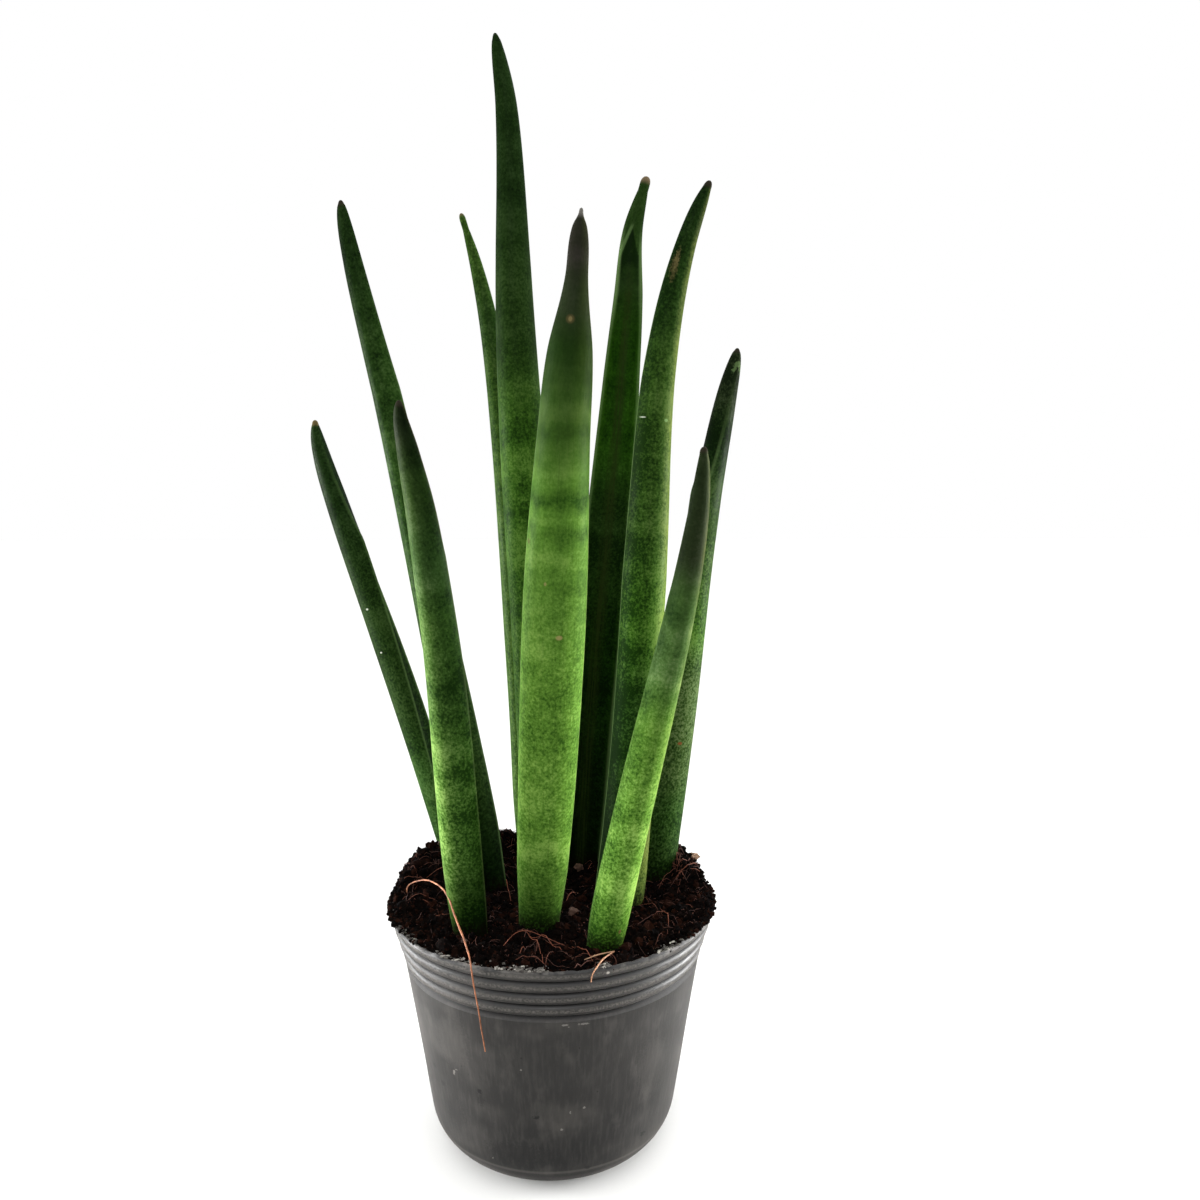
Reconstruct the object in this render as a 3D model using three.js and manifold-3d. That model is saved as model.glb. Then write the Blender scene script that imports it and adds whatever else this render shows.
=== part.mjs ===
// A potted cylindrical snake plant: ten thick, channelled leaves standing in peat in a thin ribbed nursery pot.
// Units are millimetres, +Z is up, and the origin is the centre of the pot's flat underside.

import * as THREE from "three";
import { mergeVertices } from "three/addons/utils/BufferGeometryUtils.js";
import Module from "manifold-3d";

const manifold = await Module();
manifold.setup();

// ---- Driving dimensions ------------------------------------------------------------------------

const POT = {
  height: 90,
  rimRadius: 60,
  ribZone: 20.4,
  ribCount: 4,
  ribHeight: 0.9,
  ribFootRadius: 54.6,
  wallTopRadius: 54.4,
  wallFootRadius: 43.4,
  cornerRadius: 18,
  wall: 1.1,
  drainHoles: 6,
  drainRadius: 3.5,
  drainCircle: 19,
};

// The soil follows the inside of the pot up to its shoulder, and its surface is raised ring by ring.
const SOIL = {
  level: 89.5,
  rise: 1.2,
  relief: 0.6,
  shoulder: [[56.1, 85], [57.2, 86.6]],
  rings: [57.9, 54, 47, 39, 30, 20, 10],
};

// Heaps on the soil's surface, which sink to a share of their height at the rim.
const HEAP_AT_RIM = 0.55;
const HEAPS = [
  { x: -50, y: 17, spread: 15, height: 12.5 },
  { x: -26, y: 48, spread: 14, height: 7.5 },
  { x: 49, y: 22, spread: 13, height: 11 },
  { x: 18, y: 50, spread: 13, height: 3 },
];

// Clearance between touching pieces, and the number of flats around the pot and the soil.
const GAP = 0.3;
const AROUND = 40;

const LEAF = {
  foot: 62,
  neck: 0.82,
  sides: 12,
  rings: 16,
  tipWidth: 1.8,
  tipDepth: 0.75,
  tipDepthPower: 4,
  hookPower: 10,
  channel: 0.45,
  tipBulge: 0.7,
  channelEnd: [0.8, 0.93],
  crowding: 1.5,
};

// One entry for each leaf. x holds the four control points of its midline from foot to tip, y its foot and tip,
// top the tip's height. The leaf is widest at the fraction `widest` of its length and narrows from there by the
// powers taper and blunt. facing is the bearing of the channelled inner face at the foot and at the tip, depth the
// thickness over the width, and hook how far the tip swings sideways.
const LEAVES = [
  { name: "leaf_far_left", x: [-30, -52, -65, -99], y: [31, 36], top: 267,
    width: 15.5, widest: 0.48, taper: 2.2, blunt: 0.54, hook: 9, depth: 0.62, facing: [-22, 25] },
  { name: "leaf_tall_left", x: [-21, -39, -49, -77], y: [9, 4], top: 340,
    width: 16.5, widest: 0.26, taper: 1, blunt: 0.42, hook: 5, depth: 0.6, facing: [45, 60] },
  { name: "leaf_front_left", x: [-25, -37, -29, -50], y: [-24, -58], top: 267,
    width: 15.5, widest: 0.32, taper: 1.25, blunt: 0.42, hook: 6, depth: 0.6, facing: [55, 60] },
  { name: "leaf_slim_back", x: [-8, -16, -12, -32], y: [41, 50], top: 348,
    width: 12, widest: 0.44, taper: 2, blunt: 0.63, hook: -3, depth: 0.6, facing: [70, 70] },
  { name: "leaf_tallest", x: [-9, 4, -25, -8], y: [33, 26], top: 405,
    width: 18, widest: 0.28, taper: 1.4, blunt: 0.42, hook: -11, depth: 0.5, facing: [80, 80] },
  { name: "leaf_broad_front", x: [-6, 1, 0, 9], y: [-21, -68], bow: -4, top: 318,
    width: 19.5, widest: 0.4, taper: 2.8, blunt: 0.7, hook: 0, depth: 0.42, facing: [85, 85] },
  { name: "leaf_channelled", x: [11, 10, 34, 25], y: [29, 30], top: 357,
    width: 17, widest: 0.39, taper: 2.1, blunt: 0.53, hook: 12, depth: 0.6, facing: [-85, -95] },
  { name: "leaf_tall_right", x: [23, 38, 29, 46], y: [-8, -12], top: 343,
    width: 16.5, widest: 0.52, taper: 1, blunt: 0.49, hook: 8, depth: 0.5, facing: [100, 110] },
  { name: "leaf_front_right", x: [15, 22, 38, 48], y: [-36, -76], top: 253,
    width: 14, widest: 0.23, taper: 1.1, blunt: 0.43, hook: -4, depth: 0.6, facing: [120, 110] },
  { name: "leaf_far_right", x: [40, 52, 52, 72], y: [17, 20], top: 293,
    width: 16, widest: 0.42, taper: 1.9, blunt: 0.45, hook: -1, depth: 0.6, facing: [165, 205] },
];

// Rhizomes: creeping stems under the soil, each with a crown under every leaf that it bears, and a few roots.
const RHIZOME = {
  radius: 4.6,
  height: 52,
  inward: 0.94,
  crownRadius: 3.5,
  crownTop: 61.6,
  rootRadius: 1,
  rootFoot: 16,
  rootSway: 3,
  rootInward: [0.85, 0.65],
  sides: 6,
  steps: 6,
  rootSides: 4,
  rootSteps: 4,
};

const RHIZOMES = [
  { name: "rhizome_left", stems: [["leaf_far_left", "leaf_tall_left", "leaf_front_left"]] },
  { name: "rhizome_middle", stems: [["leaf_slim_back", "leaf_tallest", "leaf_broad_front"]] },
  { name: "rhizome_right",
    stems: [["leaf_channelled", "leaf_tall_right", "leaf_front_right"], ["leaf_tall_right", "leaf_far_right"]] },
];

// Coir fibres lying on the soil: the points that each one follows.
const FIBRE = { radius: 0.45, sides: 5 };

const LONG_FIBRE = [
  [-54, -2, 91], [-52.5, -5, 97], [-45.5, -12, 101.5], [-39, -24, 104], [-35, -33, 103], [-31.8, -40.5, 99],
  [-28.5, -48.5, 95], [-26.6, -54, 92.4], [-25.8, -56.4, 89.4], [-24.8, -56.6, 82], [-24, -53.6, 74],
  [-23.4, -50.6, 66], [-22.4, -49.4, 58],
];

const FORKED_FIBRE = [
  [[20, -47.8, 90.6], [15.2, -49, 90.4], [10, -50, 89]],
  [[20, -47.8, 90.6], [17, -53, 91.4], [14, -58.6, 91.4], [12.2, -60.8, 89.6], [11.8, -60.8, 87]],
];

const BENT_FIBRE = [[-16.5, -40.5, 90], [-13, -33.6, 90.8], [-9, -32.6, 91.2], [-3.5, -36.5, 91], [4, -41.5, 89.8]];

// ---- Materials ---------------------------------------------------------------------------------

function material(color, roughness) {
  return new THREE.MeshStandardMaterial({ color, roughness, metalness: 0 });
}

const PLASTIC = material(0x2e2d2b, 0.55);
const PEAT = material(0x1f1512, 1);
const LEAF_SKIN = material(0x3f6a2b, 0.5);
const RHIZOME_SKIN = material(0xb98a4e, 0.8);
const COIR = material(0xa9673a, 0.8);

// ---- Joining and cutting -----------------------------------------------------------------------

function toSolid(geometry) {
  const bare = geometry.clone();
  bare.deleteAttribute("normal");
  bare.deleteAttribute("uv");
  const merged = mergeVertices(bare, 1e-4);
  return new manifold.Manifold(new manifold.Mesh({
    numProp: 3,
    vertProperties: Float32Array.from(merged.attributes.position.array),
    triVerts: Uint32Array.from(merged.index.array),
  }));
}

function toGeometry(solid) {
  const mesh = solid.getMesh();
  const geometry = new THREE.BufferGeometry();
  geometry.setAttribute("position", new THREE.BufferAttribute(mesh.vertProperties, 3));
  geometry.setIndex(new THREE.BufferAttribute(mesh.triVerts, 1));
  geometry.computeVertexNormals();
  return geometry;
}

function joinAll(solids) {
  return solids.reduce((whole, next) => whole.add(next));
}

function cutAll(solid, tools) {
  return tools.reduce((left, tool) => left.subtract(tool), solid);
}

function lathe(profile) {
  const geometry = new THREE.LatheGeometry(profile, AROUND);
  geometry.rotateX(Math.PI / 2);
  return geometry;
}

// A round rod along a smooth route, with rounded ends.
function rod(points, radius, sides, steps) {
  const route = new THREE.CatmullRomCurve3(points.map((p) => new THREE.Vector3(...p)));
  const section = new THREE.Shape();
  for (let i = 0; i < sides; i += 1) {
    const angle = (2 * Math.PI * i) / sides;
    const x = radius * Math.cos(angle);
    const y = radius * Math.sin(angle);
    if (i === 0) section.moveTo(x, y);
    else section.lineTo(x, y);
  }
  section.closePath();
  const shaft = toSolid(new THREE.ExtrudeGeometry(section, { extrudePath: route, steps }));
  return joinAll([shaft, ball(points[0], radius, sides), ball(points[points.length - 1], radius, sides)]);
}

function ball(centre, radius, sides) {
  const geometry = new THREE.SphereGeometry(radius, sides, 3);
  geometry.translate(...centre);
  return toSolid(geometry);
}

function post(x, y, bottom, top, radius, sides) {
  const geometry = new THREE.CylinderGeometry(radius, radius, top - bottom, sides);
  geometry.rotateX(Math.PI / 2);
  geometry.translate(x, y, (top + bottom) / 2);
  return toSolid(geometry);
}

// ---- Pot ---------------------------------------------------------------------------------------

const WALL_SLOPE = Math.atan2(POT.wallTopRadius - POT.wallFootRadius, POT.height - POT.ribZone);

function cornerCentre() {
  const run = POT.cornerRadius * Math.tan(WALL_SLOPE) - POT.cornerRadius / Math.cos(WALL_SLOPE);
  return new THREE.Vector2(POT.wallFootRadius + run, POT.cornerRadius);
}

// The rounded corner between the underside and the wall, followed upwards.
function cornerPoints(inset, steps) {
  const centre = cornerCentre();
  const radius = POT.cornerRadius - inset;
  const points = [];
  for (let i = 0; i <= steps; i += 1) {
    const angle = -Math.PI / 2 + ((Math.PI / 2 - WALL_SLOPE) * i) / steps;
    points.push(new THREE.Vector2(centre.x + radius * Math.cos(angle), centre.y + radius * Math.sin(angle)));
  }
  return points;
}

// The four rolled ribs under the rim, each a rounded swelling between two narrow grooves.
function ribPoints(inset, perRib) {
  const stations = POT.ribCount * perRib;
  const points = [];
  for (let i = 0; i <= stations; i += 1) {
    const up = i / stations;
    const swell = POT.ribHeight * (Math.abs(Math.sin(up * Math.PI * POT.ribCount)) - 1);
    const radius = THREE.MathUtils.lerp(POT.ribFootRadius, POT.rimRadius, up) + swell;
    points.push(new THREE.Vector2(radius - inset, POT.height - POT.ribZone + POT.ribZone * up));
  }
  return points;
}

function wallFootBelowRibs(inset) {
  return new THREE.Vector2(POT.wallTopRadius - inset, POT.height - POT.ribZone - 1.5);
}

function buildPot() {
  const outside = [
    new THREE.Vector2(0, 0),
    ...cornerPoints(0, 6),
    wallFootBelowRibs(0),
    ...ribPoints(0, 3).slice(0, -1),
    new THREE.Vector2(POT.rimRadius, POT.height - 0.7),
    new THREE.Vector2(POT.rimRadius - 0.5, POT.height),
  ];
  const inside = [
    new THREE.Vector2(0, POT.wall),
    ...cornerPoints(POT.wall, 5),
    wallFootBelowRibs(POT.wall),
    ...ribPoints(POT.wall, 2).slice(0, -1),
    new THREE.Vector2(POT.rimRadius - POT.wall - 0.3, POT.height),
  ];
  const shell = toSolid(lathe([...outside, ...inside.reverse()]));
  const drains = [];
  for (let i = 0; i < POT.drainHoles; i += 1) {
    const angle = (2 * Math.PI * i) / POT.drainHoles;
    const x = POT.drainCircle * Math.cos(angle);
    const y = POT.drainCircle * Math.sin(angle);
    drains.push(post(x, y, -1, POT.wall + 1, POT.drainRadius, 16));
  }
  return toGeometry(cutAll(shell, drains));
}

// ---- Leaves ------------------------------------------------------------------------------------

function leafMidline(leaf) {
  const bow = leaf.bow ?? 0;
  const points = leaf.x.map((x, i) => {
    const up = i / 3;
    const sag = i === 1 || i === 2 ? bow : 0;
    const y = THREE.MathUtils.lerp(leaf.y[0], leaf.y[1], up) + sag;
    return new THREE.Vector3(x, y, THREE.MathUtils.lerp(LEAF.foot, leaf.top, up));
  });
  return new THREE.CubicBezierCurve3(...points);
}

function leafWidth(leaf, along) {
  const rise = LEAF.neck + (1 - LEAF.neck) * Math.sin((Math.PI / 2) * Math.min(along / leaf.widest, 1));
  const past = Math.max((along - leaf.widest) / (1 - leaf.widest), 0);
  const narrow = (1 - past ** leaf.taper) ** leaf.blunt;
  return Math.max(leaf.width * rise * narrow, LEAF.tipWidth);
}

// Centre, across and inward directions, width and thickness of a leaf at a fraction of its length.
function leafStation(leaf, midline, along) {
  const centre = midline.getPointAt(along);
  const tangent = midline.getTangentAt(along);
  centre.x += leaf.hook * along ** LEAF.hookPower;
  tangent.x += (leaf.hook * LEAF.hookPower * along ** (LEAF.hookPower - 1)) / midline.getLength();
  tangent.normalize();
  const bearing = THREE.MathUtils.degToRad(THREE.MathUtils.lerp(...leaf.facing, along));
  const inward = new THREE.Vector3(Math.cos(bearing), Math.sin(bearing), 0);
  inward.addScaledVector(tangent, -inward.dot(tangent)).normalize();
  const across = new THREE.Vector3().crossVectors(tangent, inward);
  const width = leafWidth(leaf, along);
  const depth = width * THREE.MathUtils.lerp(leaf.depth, LEAF.tipDepth, along ** LEAF.tipDepthPower);
  return { centre, across, inward, width, depth };
}

// How far the inner face is hollowed, as a share of the depth: a channel that closes and bulges into a round tip.
function hollow(along) {
  const closed = THREE.MathUtils.smoothstep(along, ...LEAF.channelEnd);
  return THREE.MathUtils.lerp(LEAF.channel, -LEAF.tipBulge, closed);
}

// A leaf is a rod of many rings, each moved to its own crescent-shaped section. With `grow` it is the plain,
// unchannelled hole that the leaf stands in.
function leafSolid(leaf, grow) {
  const midline = leafMidline(leaf);
  const geometry = new THREE.CylinderGeometry(1, 1, 1, LEAF.sides, LEAF.rings);
  const position = geometry.attributes.position;
  for (let i = 0; i < position.count; i += 1) {
    const height = position.getY(i) + 0.5;
    const along = 1 - (1 - height) ** LEAF.crowding;
    const { centre, across, inward, width, depth } = leafStation(leaf, midline, along);
    const side = position.getX(i);
    const front = position.getZ(i);
    const channelled = grow > 0 ? 0 : hollow(along);
    const bulge = Math.max(-channelled, 0);
    const outer = depth / (1 + bulge);
    const reach = front > -1e-6 ? grow - channelled * outer * front * front : (outer + grow) * front;
    centre.addScaledVector(across, side * (width / 2 + grow));
    centre.addScaledVector(inward, reach + (outer * (1 - bulge)) / 2);
    if (height < 1e-6) centre.z = LEAF.foot - 2 * grow;
    position.setXYZ(i, centre.x, centre.y, centre.z);
  }
  return toSolid(geometry);
}

// ---- Rhizomes ----------------------------------------------------------------------------------

function leafFoot(name) {
  const leaf = LEAVES.find((entry) => entry.name === name);
  return [leaf.x[0], leaf.y[0]];
}

function rhizomeSolid(rhizome, grow) {
  const parts = rhizome.stems.map((leaves) => {
    const route = leaves.map(leafFoot).map(([x, y]) => [x * RHIZOME.inward, y * RHIZOME.inward, RHIZOME.height]);
    return rod(route, RHIZOME.radius + grow, RHIZOME.sides, RHIZOME.steps);
  });
  const feet = [...new Set(rhizome.stems.flat())].map(leafFoot);
  for (const [x, y] of feet) {
    const top = RHIZOME.crownTop + grow;
    parts.push(post(x, y, RHIZOME.height - grow, top, RHIZOME.crownRadius + grow, RHIZOME.sides));
  }
  for (const [x, y] of feet.filter((foot, i) => i % 2 === 0)) {
    const [middle, end] = RHIZOME.rootInward;
    const sway = RHIZOME.rootSway;
    const root = [
      [x * RHIZOME.inward, y * RHIZOME.inward, RHIZOME.height],
      [x * middle + sway, y * middle - sway, (RHIZOME.height + RHIZOME.rootFoot) / 2],
      [x * end - sway, y * end + sway, RHIZOME.rootFoot],
    ];
    parts.push(rod(root, RHIZOME.rootRadius + grow, RHIZOME.rootSides, RHIZOME.rootSteps));
  }
  return joinAll(parts);
}

// ---- Fibres ------------------------------------------------------------------------------------

function fibreSolid(routes, steps, grow) {
  return joinAll(routes.map((route) => rod(route, FIBRE.radius + grow, FIBRE.sides, steps)));
}

const FIBRES = [
  { name: "coir_fibre_long", routes: [LONG_FIBRE], steps: 20 },
  { name: "coir_fibre_forked", routes: FORKED_FIBRE, steps: 5 },
  { name: "coir_fibre_bent", routes: [BENT_FIBRE], steps: 6 },
];

// ---- Soil --------------------------------------------------------------------------------------

function soilHeight(x, y) {
  const heaped = HEAPS.reduce((sum, heap) => {
    const away = ((x - heap.x) ** 2 + (y - heap.y) ** 2) / (2 * heap.spread ** 2);
    return sum + heap.height * Math.exp(-away);
  }, 0);
  const bank = THREE.MathUtils.lerp(1, HEAP_AT_RIM, (Math.hypot(x, y) / SOIL.rings[0]) ** 10);
  const crumble = Math.sin(0.31 * x + 0.9) * Math.cos(0.27 * y - 0.4) + 0.6 * Math.sin(0.47 * x - 0.53 * y + 2);
  return SOIL.level + (SOIL.rise * y) / POT.rimRadius + bank * heaped + SOIL.relief * crumble;
}

function buildSoil() {
  const inset = POT.wall + GAP;
  const grooveInset = inset + POT.ribHeight;
  const sides = [
    new THREE.Vector2(0, inset),
    ...cornerPoints(inset, 5),
    wallFootBelowRibs(inset + GAP),
    new THREE.Vector2(POT.ribFootRadius - grooveInset, POT.height - POT.ribZone),
    ...SOIL.shoulder.map(([radius, height]) => new THREE.Vector2(radius, height)),
  ];
  const top = [...SOIL.rings, 0].map((radius) => new THREE.Vector2(radius, POT.height));
  const profile = [...sides, ...top];
  const geometry = lathe(profile);
  const position = geometry.attributes.position;
  for (let i = 0; i < position.count; i += 1) {
    if (i % profile.length >= sides.length) {
      position.setZ(i, soilHeight(position.getX(i), position.getY(i)));
    }
  }
  const holes = [
    ...LEAVES.map((leaf) => leafSolid(leaf, GAP)),
    ...RHIZOMES.map((rhizome) => rhizomeSolid(rhizome, GAP)),
    ...FIBRES.map((fibre) => fibreSolid(fibre.routes, fibre.steps, GAP)),
  ];
  return toGeometry(cutAll(toSolid(geometry), holes));
}

// ---- The plant in its pot ----------------------------------------------------------------------

function namedMesh(name, geometry, surface) {
  const mesh = new THREE.Mesh(geometry, surface);
  mesh.name = name;
  return mesh;
}

const plant = new THREE.Group();
plant.add(namedMesh("pot", buildPot(), PLASTIC));
plant.add(namedMesh("soil", buildSoil(), PEAT));
for (const leaf of LEAVES) {
  plant.add(namedMesh(leaf.name, toGeometry(leafSolid(leaf, 0)), LEAF_SKIN));
}
for (const rhizome of RHIZOMES) {
  plant.add(namedMesh(rhizome.name, toGeometry(rhizomeSolid(rhizome, 0)), RHIZOME_SKIN));
}
for (const fibre of FIBRES) {
  plant.add(namedMesh(fibre.name, toGeometry(fibreSolid(fibre.routes, fibre.steps, 0)), COIR));
}

export default plant;
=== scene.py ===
"""The looks of a potted cylindrical snake plant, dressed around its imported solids.

Sizes are millimetres in the tables and dataclasses, but metres on the stage and in every mesh.
"""

import bisect
import logging
import math
import random
from dataclasses import dataclass
from enum import Enum
from typing import Callable, Iterable, Sequence

import bpy
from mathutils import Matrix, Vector, noise


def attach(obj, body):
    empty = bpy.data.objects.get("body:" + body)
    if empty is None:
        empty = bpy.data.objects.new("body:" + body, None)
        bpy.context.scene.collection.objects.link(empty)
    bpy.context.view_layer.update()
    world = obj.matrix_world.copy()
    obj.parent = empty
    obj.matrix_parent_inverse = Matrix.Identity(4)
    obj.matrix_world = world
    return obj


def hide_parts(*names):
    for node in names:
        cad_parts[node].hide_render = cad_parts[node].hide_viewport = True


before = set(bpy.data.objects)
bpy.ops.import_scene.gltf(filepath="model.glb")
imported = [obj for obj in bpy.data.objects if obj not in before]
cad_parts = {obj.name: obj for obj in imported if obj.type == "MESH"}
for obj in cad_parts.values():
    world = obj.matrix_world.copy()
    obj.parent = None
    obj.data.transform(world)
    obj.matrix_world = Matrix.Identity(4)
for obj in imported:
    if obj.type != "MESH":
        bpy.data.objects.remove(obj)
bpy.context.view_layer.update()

logging.basicConfig(level=logging.INFO, format="%(message)s")
LOG = logging.getLogger("snake_plant")

MM = 0.001
SEED = 41
BODY = "root"

# The gap between pieces that touch, and how near points are merged, in millimetres.
GAP = 0.3
MERGE = 0.004


class Slot(Enum):
    """The record's material slots."""

    POT = "pot_plastic"
    PEAT = "peat"
    LEAF = "leaf_skin"
    RHIZOME = "rhizome_skin"
    COIR = "coir"


class Colour(Enum):
    """Named sRGB colours of the plant, its soil and its pot."""

    LIME = 0x5C8631
    APPLE = 0x547C2B
    GRASS = 0x4C7227
    IVY = 0x345618
    MOSS = 0x304B19
    SAGE = 0x384F23
    BOTTLE = 0x284417
    FERN = 0x223A13
    FOREST = 0x1D320F
    NIGHT = 0x16290C
    PITCH = 0x0E1F07
    JADE = 0x24480C
    PINE = 0x122A05
    BRONZE = 0x3A5427
    UMBER = 0x222C18
    TEAL = 0x44602F
    MEADOW = 0x5C8236
    LICHEN = 0x4C6C2F
    HUSK = 0x24251C
    STREAK = 0x222E0E
    FLUSH = 0x7F9238
    PALE_MARGIN = 0x7E9E62
    RUST_MARGIN = 0x5E5234
    DRY_TIP = 0x2A271E
    DRY_NUB = 0x6A6862
    HORN = 0x6C5E48
    SCAR = 0xA39060
    CHALK = 0xCFD6C4
    # PEAT_BLACK_AND_SHADE is the peat's black, and also painted shade on the pot.
    PEAT_BLACK_AND_SHADE = 0x040303
    PEAT_BROWN = 0x0E0806
    PEAT_RED = 0x2E1810
    ASH = 0x77736E
    ASH_DARK = 0x3C3834
    GRIT = 0xCDC8BE
    BARK = 0x6A4332
    COIR = 0xA8623C
    COIR_PALE = 0xBC9676
    COIR_RED = 0x7A4028
    COIR_DARK = 0x341810
    PLASTIC = 0x0D0C0C
    # PLASTIC_DUST_AND_HIGHLIGHT is dust on the plastic, and also painted highlights on it.
    PLASTIC_DUST_AND_HIGHLIGHT = 0x66625D
    RHIZOME = 0xB98A4E
    FLOOR = 0xF8F8F6
    FLOOR_BOUNCE = 0xA8A8A6
    WHITE = 0xFFFFFF


def linear(colour: Colour) -> tuple[float, float, float, float]:
    """Turns a named sRGB colour to linear light.

    Args:
        colour: the named colour.

    Returns:
        Linear red, green and blue, and an alpha of one.
    """

    def channel(value: int) -> float:
        """Turns one 8-bit sRGB channel to linear light."""
        share = value / 255
        return share / 12.92 if share <= 0.04045 else ((share + 0.055) / 1.055) ** 2.4

    code = colour.value
    return channel(code >> 16 & 255), channel(code >> 8 & 255), channel(code & 255), 1.0


def lerp(start: float, end: float, share: float) -> float:
    """Mixes two numbers."""
    return start + (end - start) * share


def smoothstep(value: float, low: float, high: float) -> float:
    """Rises smoothly from 0 at low to 1 at high."""
    share = min(max((value - low) / (high - low), 0.0), 1.0)
    return share * share * (3 - 2 * share)


# ---- Nodes --------------------------------------------------------------------------------------


@dataclass(frozen=True)
class Kind:
    """A kind of node: its type, its settings, the inputs that values fill in turn, and the output that counts."""

    type: str
    settings: tuple[tuple[str, str], ...] = ()
    inputs: tuple[int | str, ...] = (0, 1, 2, 3, 4)
    output: int | str = 0


# A mix takes its share and two colours, by number because the names of its sockets repeat.
MIX = Kind("ShaderNodeMix", (("data_type", "RGBA"),), (0, 6, 7), 2)
TINT = Kind("ShaderNodeMix", (("data_type", "RGBA"), ("blend_type", "MULTIPLY")), (0, 6, 7), 2)

# A range takes a value, the two values it runs between, and the results there: 0 and 1 where they are left out.
RANGE = Kind("ShaderNodeMapRange", (("interpolation_type", "SMOOTHSTEP"),))
EVEN_RANGE = Kind("ShaderNodeMapRange", (("interpolation_type", "LINEAR"),))

ADD, SUBTRACT, MULTIPLY, DIVIDE, ABSOLUTE, MAXIMUM, PINGPONG = (
    Kind("ShaderNodeMath", (("operation", operation),))
    for operation in ("ADD", "SUBTRACT", "MULTIPLY", "DIVIDE", "ABSOLUTE", "MAXIMUM", "PINGPONG"))

# A running total takes the total so far, the value to add and its weight.
TOTAL = Kind("ShaderNodeMath", (("operation", "MULTIPLY_ADD"),), (2, 0, 1))

# Places are shifted, stretched, measured, put together and taken apart.
SHIFTED, STRETCHED = (Kind("ShaderNodeVectorMath", (("operation", operation),))
                      for operation in ("SUBTRACT", "MULTIPLY"))
LENGTH = Kind("ShaderNodeVectorMath", (("operation", "LENGTH"),), (0,), "Value")
JOINED = Kind("ShaderNodeCombineXYZ")
ACROSS, THROUGH, UPWARD = (Kind("ShaderNodeSeparateXYZ", (), (0,), axis) for axis in "XYZ")

# What patterns lie on: the piece's own coordinates, or what its mesh has stored for each point.
OBJECT_PLACE = Kind("ShaderNodeTexCoord", output="Object")
STORED_NUMBER = Kind("ShaderNodeAttribute", output="Fac")
STORED_PLACE = Kind("ShaderNodeAttribute", output="Vector")

# What materials and light are made of.
MAPPING = Kind("ShaderNodeMapping", inputs=("Vector", "Location", "Scale"))
NOISE = Kind("ShaderNodeTexNoise", inputs=("Vector", "Scale", "Detail", "Roughness"))
BUMP = Kind("ShaderNodeBump", inputs=("Height", "Strength", "Distance", "Normal"))
SEEN_RAY, GLOSSY_RAY = (Kind("ShaderNodeLightPath", output=f"Is {ray} Ray") for ray in ("Camera", "Glossy"))
BACKGROUND = Kind("ShaderNodeBackground", inputs=("Color", "Strength"))


def plug(node: bpy.types.Node, inputs: dict[int | str, object]) -> None:
    """Fills a node's inputs: an output socket is linked, and anything else is set on the input itself.

    Args:
        node: the node.
        inputs: an output socket, a Colour, a number or a vector for each input's name or number.
    """
    for name, value in inputs.items():
        if isinstance(value, bpy.types.NodeSocket):
            node.id_data.links.new(value, node.inputs[name])
        else:
            node.inputs[name].default_value = linear(value) if isinstance(value, Colour) else value


def add_node(tree: bpy.types.NodeTree, kind: Kind, *values: object, **settings: object) -> bpy.types.NodeSocket:
    """Adds a node with its settings and links.

    Args:
        tree: the node tree.
        kind: the kind of node.
        values: what goes into the kind's inputs, in turn.
        settings: settings of this node alone.

    Returns:
        The output that counts.
    """
    node = tree.nodes.new(kind.type)
    for name, value in (*kind.settings, *settings.items()):
        setattr(node, name, value)
    plug(node, dict(zip(kind.inputs, values)))
    return node.outputs[kind.output]


def grain(tree: bpy.types.NodeTree, place: bpy.types.NodeSocket, cell_mm: Sequence[float], detail: float = 2.0,
          shift: float = 0.0, roughness: float = 0.5) -> bpy.types.NodeSocket:
    """Gives a pattern of noise whose grains measure cell_mm along the three axes.

    Args:
        tree: the node tree.
        place: the place on the piece, in metres.
        cell_mm: the grain's size along X, Y and Z in millimetres.
        detail: how many finer octaves are added.
        shift: moves the pattern, so that two pieces differ.
        roughness: how strong the finer octaves are.

    Returns:
        The noise, which is about 0.5 on average.
    """
    scale = tuple(1 / (size * MM) for size in cell_mm)
    moved = add_node(tree, MAPPING, place, (shift, shift * 0.7, shift * 1.3), scale)
    return add_node(tree, NOISE, moved, 1.0, detail, roughness)


def stained(tree: bpy.types.NodeTree, colour: bpy.types.NodeSocket | Colour,
            *layers: tuple[bpy.types.NodeSocket, float, float, float, Colour]) -> bpy.types.NodeSocket:
    """Lays stains over a colour, one after another, each where a pattern calls for it.

    Args:
        tree: the node tree.
        colour: the colour below.
        layers: for each stain its pattern, the pattern's values where it starts and where it is full, its strength
            there and its colour.

    Returns:
        The stained colour.
    """
    for pattern, start, full, strength, stain in layers:
        colour = add_node(tree, MIX, add_node(tree, RANGE, pattern, start, full, 0.0, strength), colour, stain)
    return colour


def blot(tree: bpy.types.NodeTree, colour: bpy.types.NodeSocket, place: bpy.types.NodeSocket,
         centre: Sequence[float], size: Sequence[float], stain: Colour, strength: float,
         ragged: bpy.types.NodeSocket | None = None) -> bpy.types.NodeSocket:
    """Paints one soft-edged oval mark.

    Args:
        tree: the node tree.
        colour: the colour so far.
        place: the place on the piece, in metres.
        centre: the mark's middle, in millimetres.
        size: its breadth along the three axes, in millimetres.
        stain: the mark's colour.
        strength: how much of it covers the colour below.
        ragged: a noise that breaks up the mark.

    Returns:
        The colour with the mark.
    """
    away = add_node(tree, SHIFTED, place, [c * MM for c in centre])
    distance = add_node(tree, LENGTH, add_node(tree, STRETCHED, away, [2 / (c * MM) for c in size]))
    outside, inside = 1.25, 0.6
    if ragged is not None:
        distance = add_node(tree, TOTAL, distance, ragged, 2.4)
        outside, inside = 2.35, 1.75
    return stained(tree, colour, (distance, outside, inside, strength, stain))


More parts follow.
